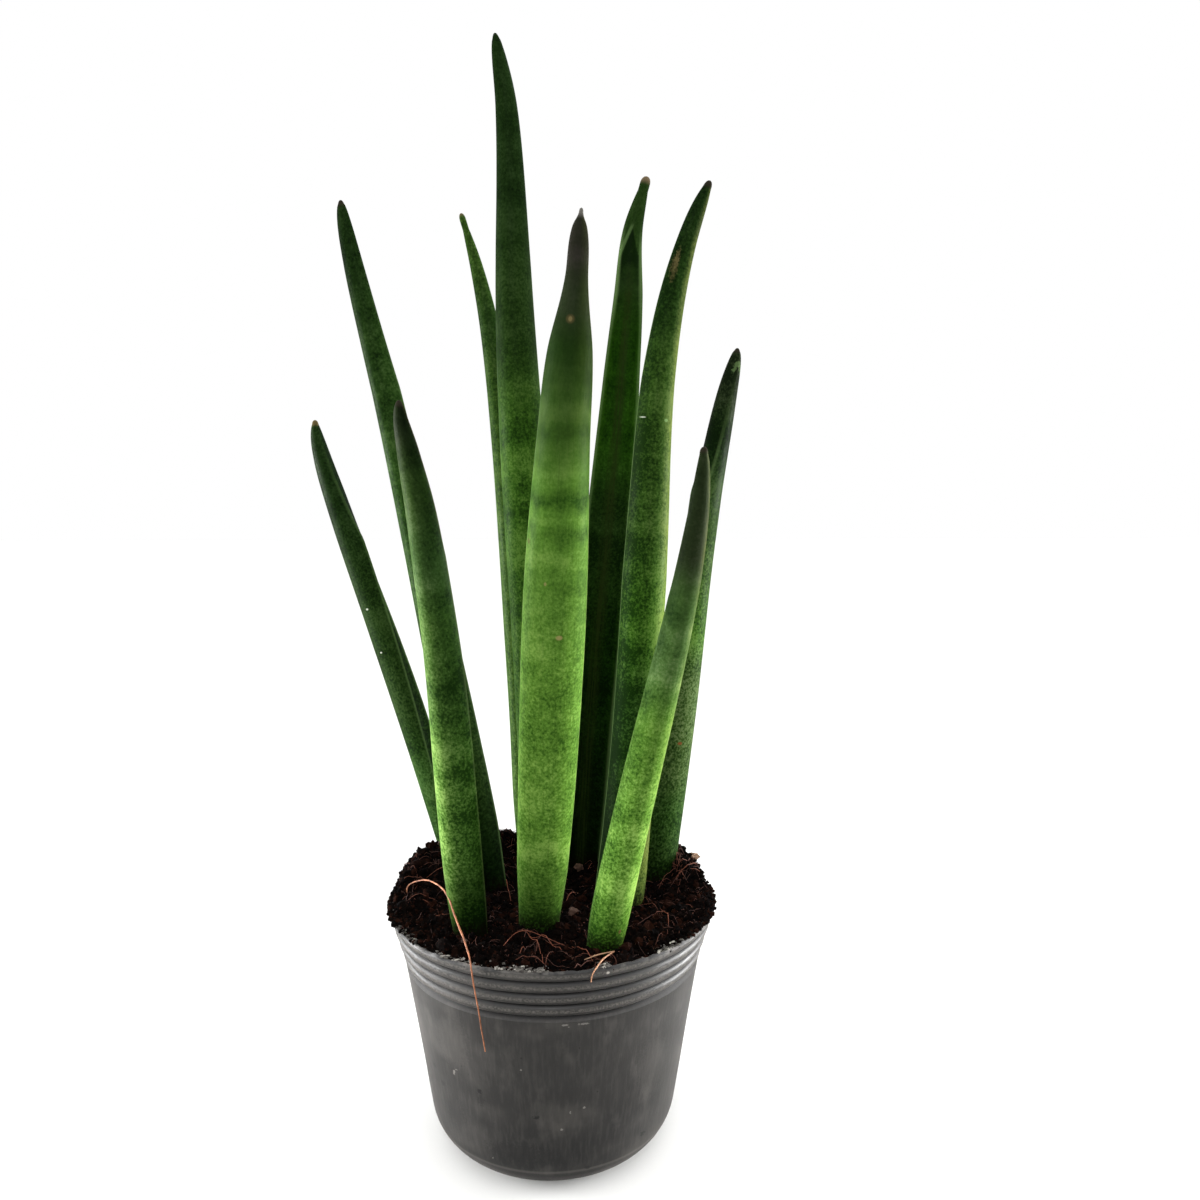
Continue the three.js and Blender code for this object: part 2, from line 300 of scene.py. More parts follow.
def new_material(name: str) -> tuple[bpy.types.Material, bpy.types.NodeTree, bpy.types.Node]:
    """Makes a material with an empty tree, a principled shader and an output.

    Args:
        name: the material's name.

    Returns:
        The material, its tree and its shader node.
    """
    material = bpy.data.materials.new(name)
    material.use_nodes = True
    tree = material.node_tree
    tree.nodes.clear()
    shader = tree.nodes.new("ShaderNodeBsdfPrincipled")
    plug(tree.nodes.new("ShaderNodeOutputMaterial"), {"Surface": shader.outputs[0]})
    return material, tree, shader


# ---- Meshes -------------------------------------------------------------------------------------


def deselect() -> None:
    """Leaves nothing selected."""
    bpy.ops.object.select_all(action="DESELECT")


def alone(piece: bpy.types.Object) -> None:
    """Selects one piece and nothing else, and makes it the active one."""
    deselect()
    piece.select_set(True)
    bpy.context.view_layer.objects.active = piece


def linked(name: str, data: bpy.types.ID) -> bpy.types.Object:
    """Makes an object of a mesh, a camera or a light, and links it to the scene.

    Args:
        name: the object's name.
        data: what it shows.

    Returns:
        The object.
    """
    piece = bpy.data.objects.new(name, data)
    bpy.context.scene.collection.objects.link(piece)
    return piece


def newest(name: str) -> bpy.types.Object:
    """Names the object that an operator has just added, and its mesh.

    Args:
        name: the name to give.

    Returns:
        The object.
    """
    piece = bpy.context.view_layer.objects.active
    piece.name = name
    piece.data.name = name
    return piece


def edit(piece: bpy.types.Object, work: Callable[[], None]) -> None:
    """Runs edit-mode operators on one piece with all of it selected.

    Args:
        piece: the piece to edit.
        work: calls the operators.
    """
    alone(piece)
    bpy.ops.object.mode_set(mode="EDIT")
    bpy.ops.mesh.select_all(action="SELECT")
    work()
    bpy.ops.object.mode_set(mode="OBJECT")


def close_up() -> None:
    """Merges doubled points and turns every face outwards."""
    bpy.ops.mesh.select_all(action="SELECT")
    bpy.ops.mesh.remove_doubles(threshold=MERGE * MM)
    bpy.ops.mesh.normals_make_consistent(inside=False)


def mesh_piece(name: str, points: Sequence[Sequence[float]], faces: Sequence[Sequence[int]],
               edges: Sequence[Sequence[int]] = ()) -> bpy.types.Object:
    """Makes an object from points in millimetres.

    Args:
        name: the object's name.
        points: the points, in millimetres.
        faces: the faces.
        edges: loose edges.

    Returns:
        The object, linked to the scene.
    """
    mesh = bpy.data.meshes.new(name)
    mesh.from_pydata([[c * MM for c in point] for point in points], edges, faces)
    return linked(name, mesh)


def spun(name: str, profile: Sequence[tuple[float, float]], steps: int) -> bpy.types.Object:
    """Spins a profile round the Z axis into a closed body.

    Args:
        name: the object's name.
        profile: radius and height in millimetres, from the axis back to the axis or closing on itself.
        steps: the number of flats around.

    Returns:
        The spun object.
    """
    points = [(radius, 0.0, height) for radius, height in profile]
    piece = mesh_piece(name, points, [], [(i, i + 1) for i in range(len(points) - 1)])

    def turn() -> None:
        """Spins the outline a full turn and closes it."""
        bpy.ops.mesh.spin(steps=steps, angle=2 * math.pi, center=(0, 0, 0), axis=(0, 0, 1))
        close_up()

    edit(piece, turn)
    return piece


def move_points(piece: bpy.types.Object, rule: Callable[[Vector], Vector]) -> None:
    """Moves every point of a piece by a rule.

    Args:
        piece: the piece.
        rule: gives a point's new place, both in millimetres.
    """
    for vertex in piece.data.vertices:
        vertex.co = rule(vertex.co / MM) * MM
    piece.data.update()


def smooth(piece: bpy.types.Object, degrees: float) -> None:
    """Shades a piece smooth, but for edges sharper than an angle."""
    alone(piece)
    bpy.ops.object.shade_smooth_by_angle(angle=math.radians(degrees))


def store(piece: bpy.types.Object, name: str, kind: str, values: Iterable) -> None:
    """Stores one value for each point of a piece.

    Args:
        piece: the piece.
        name: the attribute's name.
        kind: FLOAT or FLOAT_VECTOR.
        values: one number or vector for each point.
    """
    attribute = piece.data.attributes.new(name, kind, "POINT")
    if kind == "FLOAT":
        attribute.data.foreach_set("value", list(values))
    else:
        attribute.data.foreach_set("vector", [c for value in values for c in value])


def dress(piece: bpy.types.Object, material: bpy.types.Material, slot: Slot, *nodes: str) -> bpy.types.Object:
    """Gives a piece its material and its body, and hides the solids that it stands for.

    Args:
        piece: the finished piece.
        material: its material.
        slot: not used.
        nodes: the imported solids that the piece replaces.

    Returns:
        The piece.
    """
    piece.data.materials.clear()
    piece.data.materials.append(material)
    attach(piece, BODY)
    if nodes:
        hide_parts(*nodes)
    piece.data.calc_loop_triangles()
    LOG.info("%s: %d triangles, %s", piece.name, len(piece.data.loop_triangles), material.name)
    return piece


# A direction that no route follows. A tube's two cross directions are found from it.
ASKEW = Vector((0.31, 0.17, 1.0))


class Pile:
    """Many small shapes gathered into one mesh, each with a tone of its own."""

    def __init__(self) -> None:
        """Starts an empty pile."""
        self.points: list[Vector] = []
        self.faces: list[list[int]] = []
        self.tones: list[float] = []

    def add(self, points: Sequence[Vector], faces: Sequence[Sequence[int]], tone: float) -> None:
        """Adds one shape.

        Args:
            points: its points in millimetres.
            faces: its faces.
            tone: a number from 0 to 1 that its material reads.
        """
        first = len(self.points)
        self.points.extend(points)
        self.faces.extend([first + i for i in face] for face in faces)
        self.tones.extend([tone] * len(points))

    def tube(self, route: Sequence[Vector], radii: Sequence[float], sides: int, tone: float) -> None:
        """Adds a round tube with closed ends along a route.

        Args:
            route: its centre line in millimetres.
            radii: its radius at each point of the route.
            sides: the number of flats around.
            tone: a number from 0 to 1 that its material reads.
        """
        points: list[Vector] = []
        faces: list[list[int]] = []
        for i, (centre, radius) in enumerate(zip(route, radii)):
            ahead = (route[min(i + 1, len(route) - 1)] - route[max(i - 1, 0)]).normalized()
            aside = ahead.cross(ASKEW).normalized()
            above = aside.cross(ahead)
            for k in range(sides):
                angle = 2 * math.pi * k / sides
                points.append(centre + aside * (radius * math.cos(angle)) + above * (radius * math.sin(angle)))
        for i in range(len(route) - 1):
            for k in range(sides):
                here, there = i * sides + k, i * sides + (k + 1) % sides
                faces.append([here, there, there + sides, here + sides])
        last = (len(route) - 1) * sides
        faces.append(list(range(sides))[::-1])
        faces.append([last + k for k in range(sides)])
        self.add(points, faces, tone)

    def build(self, name: str) -> bpy.types.Object:
        """Makes the pile one object, with its faces turned outwards."""
        piece = mesh_piece(name, self.points, self.faces)
        store(piece, "tone", "FLOAT", self.tones)
        edit(piece, lambda: bpy.ops.mesh.normals_make_consistent(inside=False))
        return piece


def curve_through(points: Sequence[Sequence[float]], steps: int) -> list[Vector]:
    """Samples a smooth curve through points.

    Args:
        points: the points to pass.
        steps: the number of steps between two neighbouring points.

    Returns:
        The curve's points, the first and last included.
    """
    knots = [Vector(p) for p in points]
    padded = [knots[0] * 2 - knots[1], *knots, knots[-1] * 2 - knots[-2]]
    route: list[Vector] = []
    for before, start, end, after in zip(padded, padded[1:], padded[2:], padded[3:]):
        for step in range(steps):
            t = step / steps
            route.append(0.5 * (2 * start + (end - before) * t + (2 * before - 5 * start + 4 * end - after) * t ** 2
                                + (3 * start - before - 3 * end + after) * t ** 3))
    return [*route, knots[-1]]


# ---- Pot ----------------------------------------------------------------------------------------


@dataclass(frozen=True)
class MouldedPlastic:
    """Thin polypropylene, drawn in a mould: a matt grey film with drawing streaks, dust and fine scuffs. Shade is
    painted in the rib grooves, round the foot and low on the wall, and highlights on the rib crests and the sides.
    """

    rim_height: float
    rib_zone: float
    rib_count: int
    name: str = "thermoformed_polypropylene"
    roughness: float = 0.52
    ior: float = 1.49
    sheen: float = 0.4
    sheen_roughness: float = 0.35
    streak_mm: float = 1.1
    streak_run_mm: float = 90
    cloud_mm: float = 26.0
    smear_mm: tuple[float, float, float] = (9, 9, 16)
    dust_mm: float = 0.7
    scuff_mm: float = 3.2
    speck_mm: tuple[float, float, float] = (1.5, 1.5, 1.2)
    # A painted shade line and a painted highlight line above it, as if a groove ran round the foot: height in
    # millimetres, colour and strength.
    painted_foot_groove: tuple[tuple[float, Colour, float], ...] = (
        (10.6, Colour.PLASTIC_DUST_AND_HIGHLIGHT, 0.4), (8.6, Colour.PEAT_BLACK_AND_SHADE, 0.6))

    def make(self) -> bpy.types.Material:
        """Makes the material."""
        material, tree, shader = new_material(self.name)
        place = add_node(tree, OBJECT_PLACE)
        height = add_node(tree, UPWARD, place)
        streaks = grain(tree, place, (self.streak_mm, self.streak_mm, self.streak_run_mm), 3, 0, 0.6)
        clouds = grain(tree, place, (self.cloud_mm, self.cloud_mm, self.cloud_mm * 0.8), 4)
        smears = grain(tree, place, self.smear_mm, 4, 5.3, 0.6)
        dust = grain(tree, place, (self.dust_mm,) * 3, 3)
        scuffs = grain(tree, place, (self.scuff_mm * 2.2, self.scuff_mm * 2.2, self.scuff_mm), 3, 3.1)
        specks = grain(tree, place, self.speck_mm, 1, 7.7)
        # The last layer lightens the wall upwards from 12 to 52 mm: painted shade low on the wall.
        colour = stained(tree, Colour.PLASTIC, (streaks, 0.4, 0.72, 0.12, Colour.PLASTIC_DUST_AND_HIGHLIGHT),
                         (clouds, 0.45, 0.75, 0.28, Colour.PLASTIC_DUST_AND_HIGHLIGHT),
                         (smears, 0.55, 0.75, 0.22, Colour.PLASTIC_DUST_AND_HIGHLIGHT),
                         (smears, 0.45, 0.28, 0.5, Colour.PEAT_BLACK_AND_SHADE),
                         (height, 12 * MM, 52 * MM, 0.1, Colour.PLASTIC_DUST_AND_HIGHLIGHT))
        # Painted shade and painted highlight of the foot groove.
        for level, stain, strength in self.painted_foot_groove:
            away = add_node(tree, ABSOLUTE, add_node(tree, SUBTRACT, height, level * MM))
            colour = stained(tree, colour, (away, 1.0 * MM, 0.2 * MM, strength, stain))
        # Painted shade in the rib grooves, and dust with painted highlights on the crests.
        colour = self.grooves(tree, colour, height, dust)
        below_rim, at_rim = (self.rim_height - 2.6) * MM, (self.rim_height - 0.2) * MM
        near_rim = add_node(tree, RANGE, height, below_rim, at_rim, 0.05, 1.0)
        rim_dust = add_node(tree, MULTIPLY, add_node(tree, RANGE, smears, 0.48, 0.66, 0.0, 0.5), near_rim)
        colour = stained(tree, add_node(tree, MIX, rim_dust, colour, Colour.ASH),
                         (scuffs, 0.745, 0.77, 0.7, Colour.GRIT), (specks, 0.77, 0.8, 0.8, Colour.PEAT_BLACK_AND_SHADE))
        # Specks and scratches, with the broad painted highlights and painted shade.
        for centre, size, stain, strength in POT_MARKS_AND_PAINTED_LIGHT:
            colour = blot(tree, colour, place, centre, size, stain, strength, dust)
        dull = add_node(tree, RANGE, clouds, 0.3, 0.7, self.roughness - 0.07, self.roughness + 0.12)
        dusty = add_node(tree, BUMP, dust, 0.12, 0.15 * MM)
        plug(shader, {"Base Color": colour, "Roughness": dull, "IOR": self.ior, "Sheen Weight": self.sheen,
                      "Sheen Roughness": self.sheen_roughness, "Sheen Tint": Colour.ASH,
                      "Normal": add_node(tree, BUMP, streaks, 0.1, 0.4 * MM, dusty)})
        return material

    def grooves(self, tree: bpy.types.NodeTree, colour: bpy.types.NodeSocket, height: bpy.types.NodeSocket,
                dust: bpy.types.NodeSocket) -> bpy.types.NodeSocket:
        """Paints shade into the grooves between the ribs, and dusts the ribs' crests in a pale colour that is also
        their painted highlight.

        Args:
            tree: the node tree.
            colour: the colour so far.
            height: the height above the ground.
            dust: the finest noise.

        Returns:
            The colour with painted shade in its grooves, and dust with painted highlights on its crests.
        """
        pitch = self.rib_zone / self.rib_count * MM
        climb = add_node(tree, SUBTRACT, height, (self.rim_height - self.rib_zone) * MM)
        raised = add_node(tree, SUBTRACT, climb, pitch * 0.04)
        away = add_node(tree, PINGPONG, raised, pitch / 2)
        zone = add_node(tree, RANGE, climb, -1.2 * MM, -0.4 * MM)
        # Painted shade in the grooves.
        groove_shade = add_node(tree, MULTIPLY, add_node(tree, RANGE, away, 1.6 * MM, 0.7 * MM), zone)
        colour = add_node(tree, MIX, groove_shade, colour, Colour.PEAT_BLACK_AND_SHADE)
        # The crests' pale dust is also their painted highlight.
        crest = add_node(tree, RANGE, away, 1.2 * MM, 2.2 * MM, 0.0, 0.9)
        crest_dust_and_highlight = add_node(tree, MULTIPLY, crest, add_node(tree, RANGE, dust, 0.3, 0.7))
        return add_node(tree, MIX, add_node(tree, MULTIPLY, crest_dust_and_highlight, zone), colour, Colour.PLASTIC_DUST_AND_HIGHLIGHT)


# Marks on the pot's wall: middle, breadth, colour and strength. Most are specks of soil and small scratches. The
# broad soft ones are painted light: two pale patches are painted highlights on the left and right of the wall, and
# two dark ones are painted shade low on the wall.
POT_MARKS_AND_PAINTED_LIGHT = (
    ((9.6, -53, 69), (3.4, 6, 0.9), Colour.ASH, 0.9), ((3.8, -53.5, 69.1), (2.6, 6, 0.8), Colour.ASH, 0.9),
    ((-34, -37.2, 43.4), (0.9, 3, 1.9), Colour.ASH, 1.0), ((-33, -38, 45), (1.4, 3, 0.5), Colour.ASH, 0.7),
    ((-41.7, -27.5, 40.2), (1.4, 4, 1.6), Colour.PEAT_BLACK_AND_SHADE, 0.9),
    ((-38.6, -30.5, 35.3), (1.8, 4, 2.0), Colour.PEAT_BLACK_AND_SHADE, 0.8),
    ((-25, -43, 39.9), (1.8, 5, 2.6), Colour.PEAT_BLACK_AND_SHADE, 1.0),
    ((-24.5, -43, 36.6), (3, 6, 5), Colour.PEAT_BLACK_AND_SHADE, 0.5),
    ((-6, -48.4, 33.5), (2.4, 5, 1.6), Colour.PEAT_BLACK_AND_SHADE, 1.0),
    ((30.8, -34.3, 17), (2, 4, 2), Colour.PEAT_BLACK_AND_SHADE, 1.0),
    ((11.4, -43.2, 11.4), (2.4, 4, 1.6), Colour.PEAT_BLACK_AND_SHADE, 0.9),
    ((-10.8, -50.5, 51.7), (0.7, 2, 0.7), Colour.ASH, 1.0),
    ((9.9, -48.2, 36.4), (0.9, 3, 1), Colour.ASH, 1.0), ((5.4, -48.7, 35.1), (0.7, 3, 1.1), Colour.ASH, 0.9),
    ((2.5, -47.8, 28.5), (0.9, 3, 0.9), Colour.ASH, 1.0), ((-34, -38, 56), (12, 30, 22), Colour.PLASTIC_DUST_AND_HIGHLIGHT, 0.1),
    ((-12, -44, 18), (24, 30, 9), Colour.PEAT_BLACK_AND_SHADE, 0.5), ((-34, -32, 27), (10, 30, 14), Colour.PEAT_BLACK_AND_SHADE, 0.4),
    ((34, -38, 44), (14, 30, 26), Colour.PLASTIC_DUST_AND_HIGHLIGHT, 0.08),
)


@dataclass
class Pot:
    """The thin ribbed nursery pot."""

    height: float = 90
    rim_radius: float = 60
    rib_zone: float = 18.4
    rib_count: int = 4
    rib_height: float = 1.8
    rib_foot_radius: float = 54.6
    wall_top_radius: float = 54.4
    wall_foot_radius: float = 43.4
    corner_radius: float = 18
    foot_rings: tuple[float, ...] = (0, 8, 14, 22)
    wall_rings: int = 12
    ledge: float = 1.5
    wall: float = 1.1
    lip: float = 0.35
    lip_round: float = 0.2
    drain_holes: int = 6
    drain_radius: float = 3.5
    drain_circle: float = 19
    dent: float = 0.35
    dent_size: float = 24
    rim_wave: float = 0.35
    wave_size: float = 9
    rim_tear: float = 0.55
    tear_size: float = 2.6
    around: int = 240

    @property
    def slope(self) -> float:
        """The wall's lean from upright, in radians."""
        return math.atan2(self.wall_top_radius - self.wall_foot_radius, self.height - self.rib_zone)

    def corner(self, inset: float, steps: int) -> list[tuple[float, float]]:
        """The rounded corner between the underside and the wall.

        Args:
            inset: how far inside the outer surface.
            steps: the number of steps along it.

        Returns:
            Its points, from the underside upwards.
        """
        run = self.corner_radius * math.tan(self.slope) - self.corner_radius / math.cos(self.slope)
        radius = self.corner_radius - inset
        points = []
        turn = math.pi / 2 - self.slope
        for i in range(steps + 1):
            angle = turn * i / steps - math.pi / 2
            points.append((self.wall_foot_radius + run + radius * math.cos(angle),
                           self.corner_radius + radius * math.sin(angle)))
        return points

    def ribs(self, inset: float, steps: int) -> list[tuple[float, float]]:
        """The rolled ribs under the rim: rounded swellings between narrow grooves.

        Args:
            inset: how far inside the outer surface.
            steps: the number of steps on each rib.

        Returns:
            Their points, from the wall upwards.
        """
        points = []
        for i in range(self.rib_count * steps + 1):
            up = i / (self.rib_count * steps)
            swell = self.rib_height * (abs(math.sin(up * math.pi * self.rib_count)) ** 0.6 - 1)
            points.append((lerp(self.rib_foot_radius, self.rim_radius, up) + swell - inset,
                           self.height - self.rib_zone + self.rib_zone * up))
        return points

    def wall_top(self, inset: float) -> tuple[float, float]:
        """The top of the plain wall, just under the ribs."""
        return self.wall_top_radius - inset, self.height - self.rib_zone - self.ledge

    def profile(self) -> list[tuple[float, float]]:
        """The wall's whole outline, from the axis outside and up, over the rim and back to the axis."""
        foot, top = self.corner(0, 14), self.wall_top(0)
        shares = [i / self.wall_rings for i in range(1, self.wall_rings)]
        rise = [(lerp(foot[-1][0], top[0], share), lerp(foot[-1][1], top[1], share)) for share in shares]
        centre = [(radius, 0.0) for radius in self.foot_rings]
        below = self.height - self.lip_round
        lip = [(self.rim_radius, self.height - 2 * self.lip), (self.rim_radius - self.lip, below),
               (self.rim_radius - self.wall / 2, self.height), (self.rim_radius - self.wall, below)]
        inside = [*self.ribs(self.wall, 5)[-2::-1], self.wall_top(self.wall), *self.corner(self.wall, 8)[::-1],
                  (0, self.wall)]
        return [*centre, *foot, *rise, top, *self.ribs(0, 10)[:-1], *lip, *inside]

    def wear(self, point: Vector) -> Vector:
        """Dents the soft wall and waves the rim a little.

        Args:
            point: a point of the new pot.

        Returns:
            Its place on the used pot.
        """
        radius = math.hypot(point.x, point.y)
        if radius < 1:
            return point
        dent = self.dent * noise.noise(Vector((point.x, point.y, point.z * 0.7)) / self.dent_size)
        wave = self.rim_wave * noise.noise(Vector((point.x, point.y, 7)) / self.wave_size)
        torn = self.rim_tear * noise.noise(Vector((point.x, point.y, 3)) / self.tear_size)
        dent *= smoothstep(point.z, 4, 40)
        wave *= smoothstep(point.z, self.height - 12, self.height)
        lift = (0.6 * wave + torn) * smoothstep(point.z, self.height - 1.5, self.height)
        outward = Vector((point.x, point.y, 0)) / radius
        return point + outward * (dent + wave) + Vector((0, 0, lift))

    def drain(self, pot: bpy.types.Object) -> None:
        """Cuts the drain holes through the underside.

        Args:
            pot: the pot's object.
        """
        for i in range(self.drain_holes):
            angle = 2 * math.pi * i / self.drain_holes
            place = (self.drain_circle * math.cos(angle) * MM, self.drain_circle * math.sin(angle) * MM, 0)
            deselect()
            bpy.ops.mesh.primitive_cylinder_add(vertices=32, radius=self.drain_radius * MM, depth=6 * MM,
                                                location=place)
            punch = newest(f"drain_punch_{i}")
            cut = pot.modifiers.new("drain", "BOOLEAN")
            cut.operation = "DIFFERENCE"
            cut.object = punch
            alone(pot)
            bpy.ops.object.modifier_apply(modifier=cut.name)
            bpy.data.objects.remove(punch)

    def build(self) -> bpy.types.Object:
        """Builds and dresses the pot."""
        pot = spun("nursery_pot", self.profile(), self.around)
        self.drain(pot)
        move_points(pot, self.wear)
        smooth(pot, 50)
        return dress(pot, MouldedPlastic(self.height, self.rib_zone, self.rib_count).make(), Slot.POT, "pot")


# ---- Leaves -------------------------------------------------------------------------------------


@dataclass(frozen=True)
class Scar:
    """A healed mark on a leaf: its place across and along the face, its size and colour, and whether it flakes."""

    across: float
    along: float
    width: float
    length: float
    colour: Colour = Colour.SCAR
    strength: float = 0.7
    flaky: bool = False


# What the lightest and the darkest spots of leaf skin multiply its colour by.
SKIN_LIFT = (2.8, 2.1, 3.4, 1.0)
SKIN_SINK = (0.16, 0.25, 0.17, 1.0)

# The shares of its length between which a leaf's open channel closes to a point.
CHANNEL_CLOSES = 0.9
CHANNEL_TIP = 0.938


class SkinMap:
    """Where a point of a leaf's skin lies, the noises that its patterns share, and every grain in millimetres."""

    patch_mm: tuple[float, float, float] = (9, 9, 13)
    speckle_mm: tuple[float, float, float] = (0.9, 0.9, 0.9)
    streak_mm: tuple[float, float, float] = (0.55, 0.55, 30)
    band_mm: tuple[float, float, float] = (34, 34, 7.5)
    mottle_mm: tuple[float, float, float] = (2.6, 2.6, 2.0)
    wave_mm: tuple[float, float, float] = (5, 5, 30)

    def __init__(self, tree: bpy.types.NodeTree, shift: float) -> None:
        """Reads what the leaf's mesh has stored.

        Args:
            tree: the node tree.
            shift: moves the patterns, so that no two leaves are alike.
        """
        self.tree = tree
        self.shift = shift
        self.place = add_node(tree, STORED_PLACE, attribute_name="leaf_place")
        self.along = add_node(tree, STORED_NUMBER, attribute_name="leaf_along")
        self.half = add_node(tree, STORED_NUMBER, attribute_name="leaf_half")
        self.front = add_node(tree, STORED_NUMBER, attribute_name="leaf_front")
        self.across, self.through, self.up = (add_node(tree, axis, self.place) for axis in (ACROSS, THROUGH, UPWARD))
        self.side = add_node(tree, DIVIDE, self.across, self.half)
        self.height = add_node(tree, UPWARD, add_node(tree, OBJECT_PLACE))
        self.patches = grain(tree, self.place, self.patch_mm, 3, shift + 5)
        self.speckle = grain(tree, self.place, self.speckle_mm, 2, shift, 0.65)
        self.streaks = grain(tree, self.place, self.streak_mm, 3, shift)


@dataclass(frozen=True)
class LeafSkin:
    """Waxy succulent skin: satin green with fine speckles that gather into blurred cross bands, and a horny margin.

    tints holds the skin's middle colour at fractions of the length. bands, clouds, mottle and speckle say how strong
    each pattern is: it darkens the skin, at most by depth, and lightens it, at most by glow. belts are the clearest
    cross bands: their place and breadth in millimetres, and a tone below zero where they are light. flank_shade is
    painted shade on the plus side (or, below zero, the minus side), shade is painted shade sinking the minus side
    evenly, inner is painted shade on the channelled face, partly its own darker green, and channel is painted shade
    down the channel's middle. flush is the share of yellow along the minus margin. waver is how far the belts wander
    up and down.
    Dirt reaches from the soil line up to dirty_foot, and painted shade up to shaded_foot, all in millimetres.
    """

    tints: tuple[tuple[float, Colour], ...]
    belts: tuple[tuple[float, float, float], ...] = ()
    depth: float = 0.9
    glow: float = 0.8
    bands: float = 0.5
    clouds: float = 0.7
    mottle: float = 0.8
    speckle: float = 1.7
    fine_top: float = 0.45
    flank_shade: float = 0.0
    shade: float = 0.0
    inner: float = 0.0
    channel: float = 0.0
    flush: float = 0.0
    base: float = 0.0
    margins: tuple[float, float] = (0.2, 0.2)
    margin_width: float = 0.8
    margin_end: tuple[float, float] = (1.0, 0.7)
    rust: tuple[float, float] = (0.0, 0.0)
    dry_tip: float = 0.988
    dry: Colour = Colour.DRY_TIP
    scars: tuple[Scar, ...] = ()
    ior: float = 1.42
    specular: float = 0.02
    gloss: tuple[float, float] = (0.42, 0.58)
    waver: float = 9
    soil_line: float = 90
    dirty_foot: float = 98
    shaded_foot: float = 108

    def make(self, name: str, shift: float) -> bpy.types.Material:
        """Makes the skin of one leaf.

        Args:
            name: the leaf's name.
            shift: moves the patterns, so that no two leaves are alike.

        Returns:
            The material.
        """
        material, tree, shader = new_material(f"waxy_skin_{name}")
        at = SkinMap(tree, shift)
        colour = stained(tree, self.tints[0][1], *((at.along, low, high, 1.0, tint)
                                                   for (low, _), (high, tint) in zip(self.tints, self.tints[1:])))
        flush = add_node(tree, MULTIPLY, add_node(tree, RANGE, at.side, -0.05, -0.8, 0.0, self.flush),
                         add_node(tree, RANGE, at.patches, 0.3, 0.6, 0.4, 1.0))
        colour = add_node(tree, MIX, flush, colour, Colour.FLUSH)
        tone = self.tone(at)
        for end, most, limit in ((-0.5, self.glow, SKIN_LIFT), (0.5, self.depth, SKIN_SINK)):
            share = add_node(tree, EVEN_RANGE, tone, 0.0, end, 0.0, most)
            colour = add_node(tree, TINT, 1.0, colour, add_node(tree, MIX, share, Colour.WHITE, limit))
        # Painted shade over the minus side, darkest at its edge.
        if self.shade:
            share = add_node(tree, RANGE, at.side, 0.5, -0.85, 0.0, self.shade)
            colour = add_node(tree, TINT, 1.0, colour, add_node(tree, MIX, share, Colour.WHITE, SKIN_SINK))
        colour = stained(tree, colour, (at.streaks, 0.45, 0.3, 0.2, Colour.PITCH))
        if self.channel:
            colour = add_node(tree, MIX, at.front, colour, self.crease(at, colour))
        dried = min(self.dry_tip + 0.008, 1.0)
        colour = stained(tree, self.margin(at, colour), (at.along, self.dry_tip, dried, 1.0, self.dry))
        for scar in self.scars:
            flat = add_node(tree, JOINED, at.across, 0.0, at.up)
            colour = blot(tree, colour, flat, (scar.across, 0, scar.along), (scar.width, 1, scar.length), scar.colour,
                          scar.strength, at.speckle if scar.flaky else None)
        grime = add_node(tree, MULTIPLY, add_node(tree, RANGE, at.height, self.dirty_foot * MM, self.soil_line * MM),
                         add_node(tree, RANGE, at.speckle, 0.35, 0.6, 0.25, 0.9))
        colour = add_node(tree, MIX, grime, colour, Colour.PEAT_BROWN)
        grainy = add_node(tree, BUMP, at.speckle, 0.1, 0.2 * MM)
        plug(shader, {"Base Color": colour, "Roughness": add_node(tree, RANGE, at.patches, 0.3, 0.7, *self.gloss),
                      "IOR": self.ior, "Specular IOR Level": self.specular,
                      "Normal": add_node(tree, BUMP, at.streaks, 0.2, 0.4 * MM, grainy)})
        return material

    def tone(self, at: SkinMap) -> bpy.types.NodeSocket:
        """Adds up all that darkens or lightens the skin: bands, clouds, mottles and speckles, and painted shade on
        one side, on the inner face, in the channel and up the foot.

        Args:
            at: the place on the leaf.

        Returns:
            The tone: below zero is lighter than the middle colour and above zero is darker.
        """
        tree = at.tree
        bands = grain(tree, at.place, at.band_mm, 2, at.shift + 9)
        mottle = grain(tree, at.place, at.mottle_mm, 1, at.shift + 2)
        waves = grain(tree, at.place, at.wave_mm, 2, at.shift + 4)
        broad = add_node(tree, RANGE, at.along, 0.3, 0.6, 0.6 * self.bands, self.bands)
        fine = add_node(tree, RANGE, at.along, 0.35, 0.85, 1.0, self.fine_top)
        total = add_node(tree, TOTAL, self.base - 0.5 * self.clouds, at.patches, self.clouds)
        for pattern, weight, reach in ((bands, 1.0, broad), (mottle, self.mottle, fine),
                                       (at.speckle, self.speckle, fine)):
            total = add_node(tree, TOTAL, total, add_node(tree, TOTAL, -0.5 * weight, pattern, weight), reach)
        wavy = add_node(tree, TOTAL, at.up, waves, self.waver * MM)
        for middle, breadth, tone in self.belts:
            away = add_node(tree, ABSOLUTE, add_node(tree, SUBTRACT, wavy, (middle + self.waver / 2) * MM))
            total = add_node(tree, TOTAL, total, add_node(tree, RANGE, away, breadth * 1.3 * MM, 0.0), tone)
        # Painted shade on one side of the leaf.
        total = add_node(tree, TOTAL, total, at.side, self.flank_shade)
        # Painted shade on the channelled inner face, along with its own darker green.
        total = add_node(tree, TOTAL, total, at.front, self.inner)
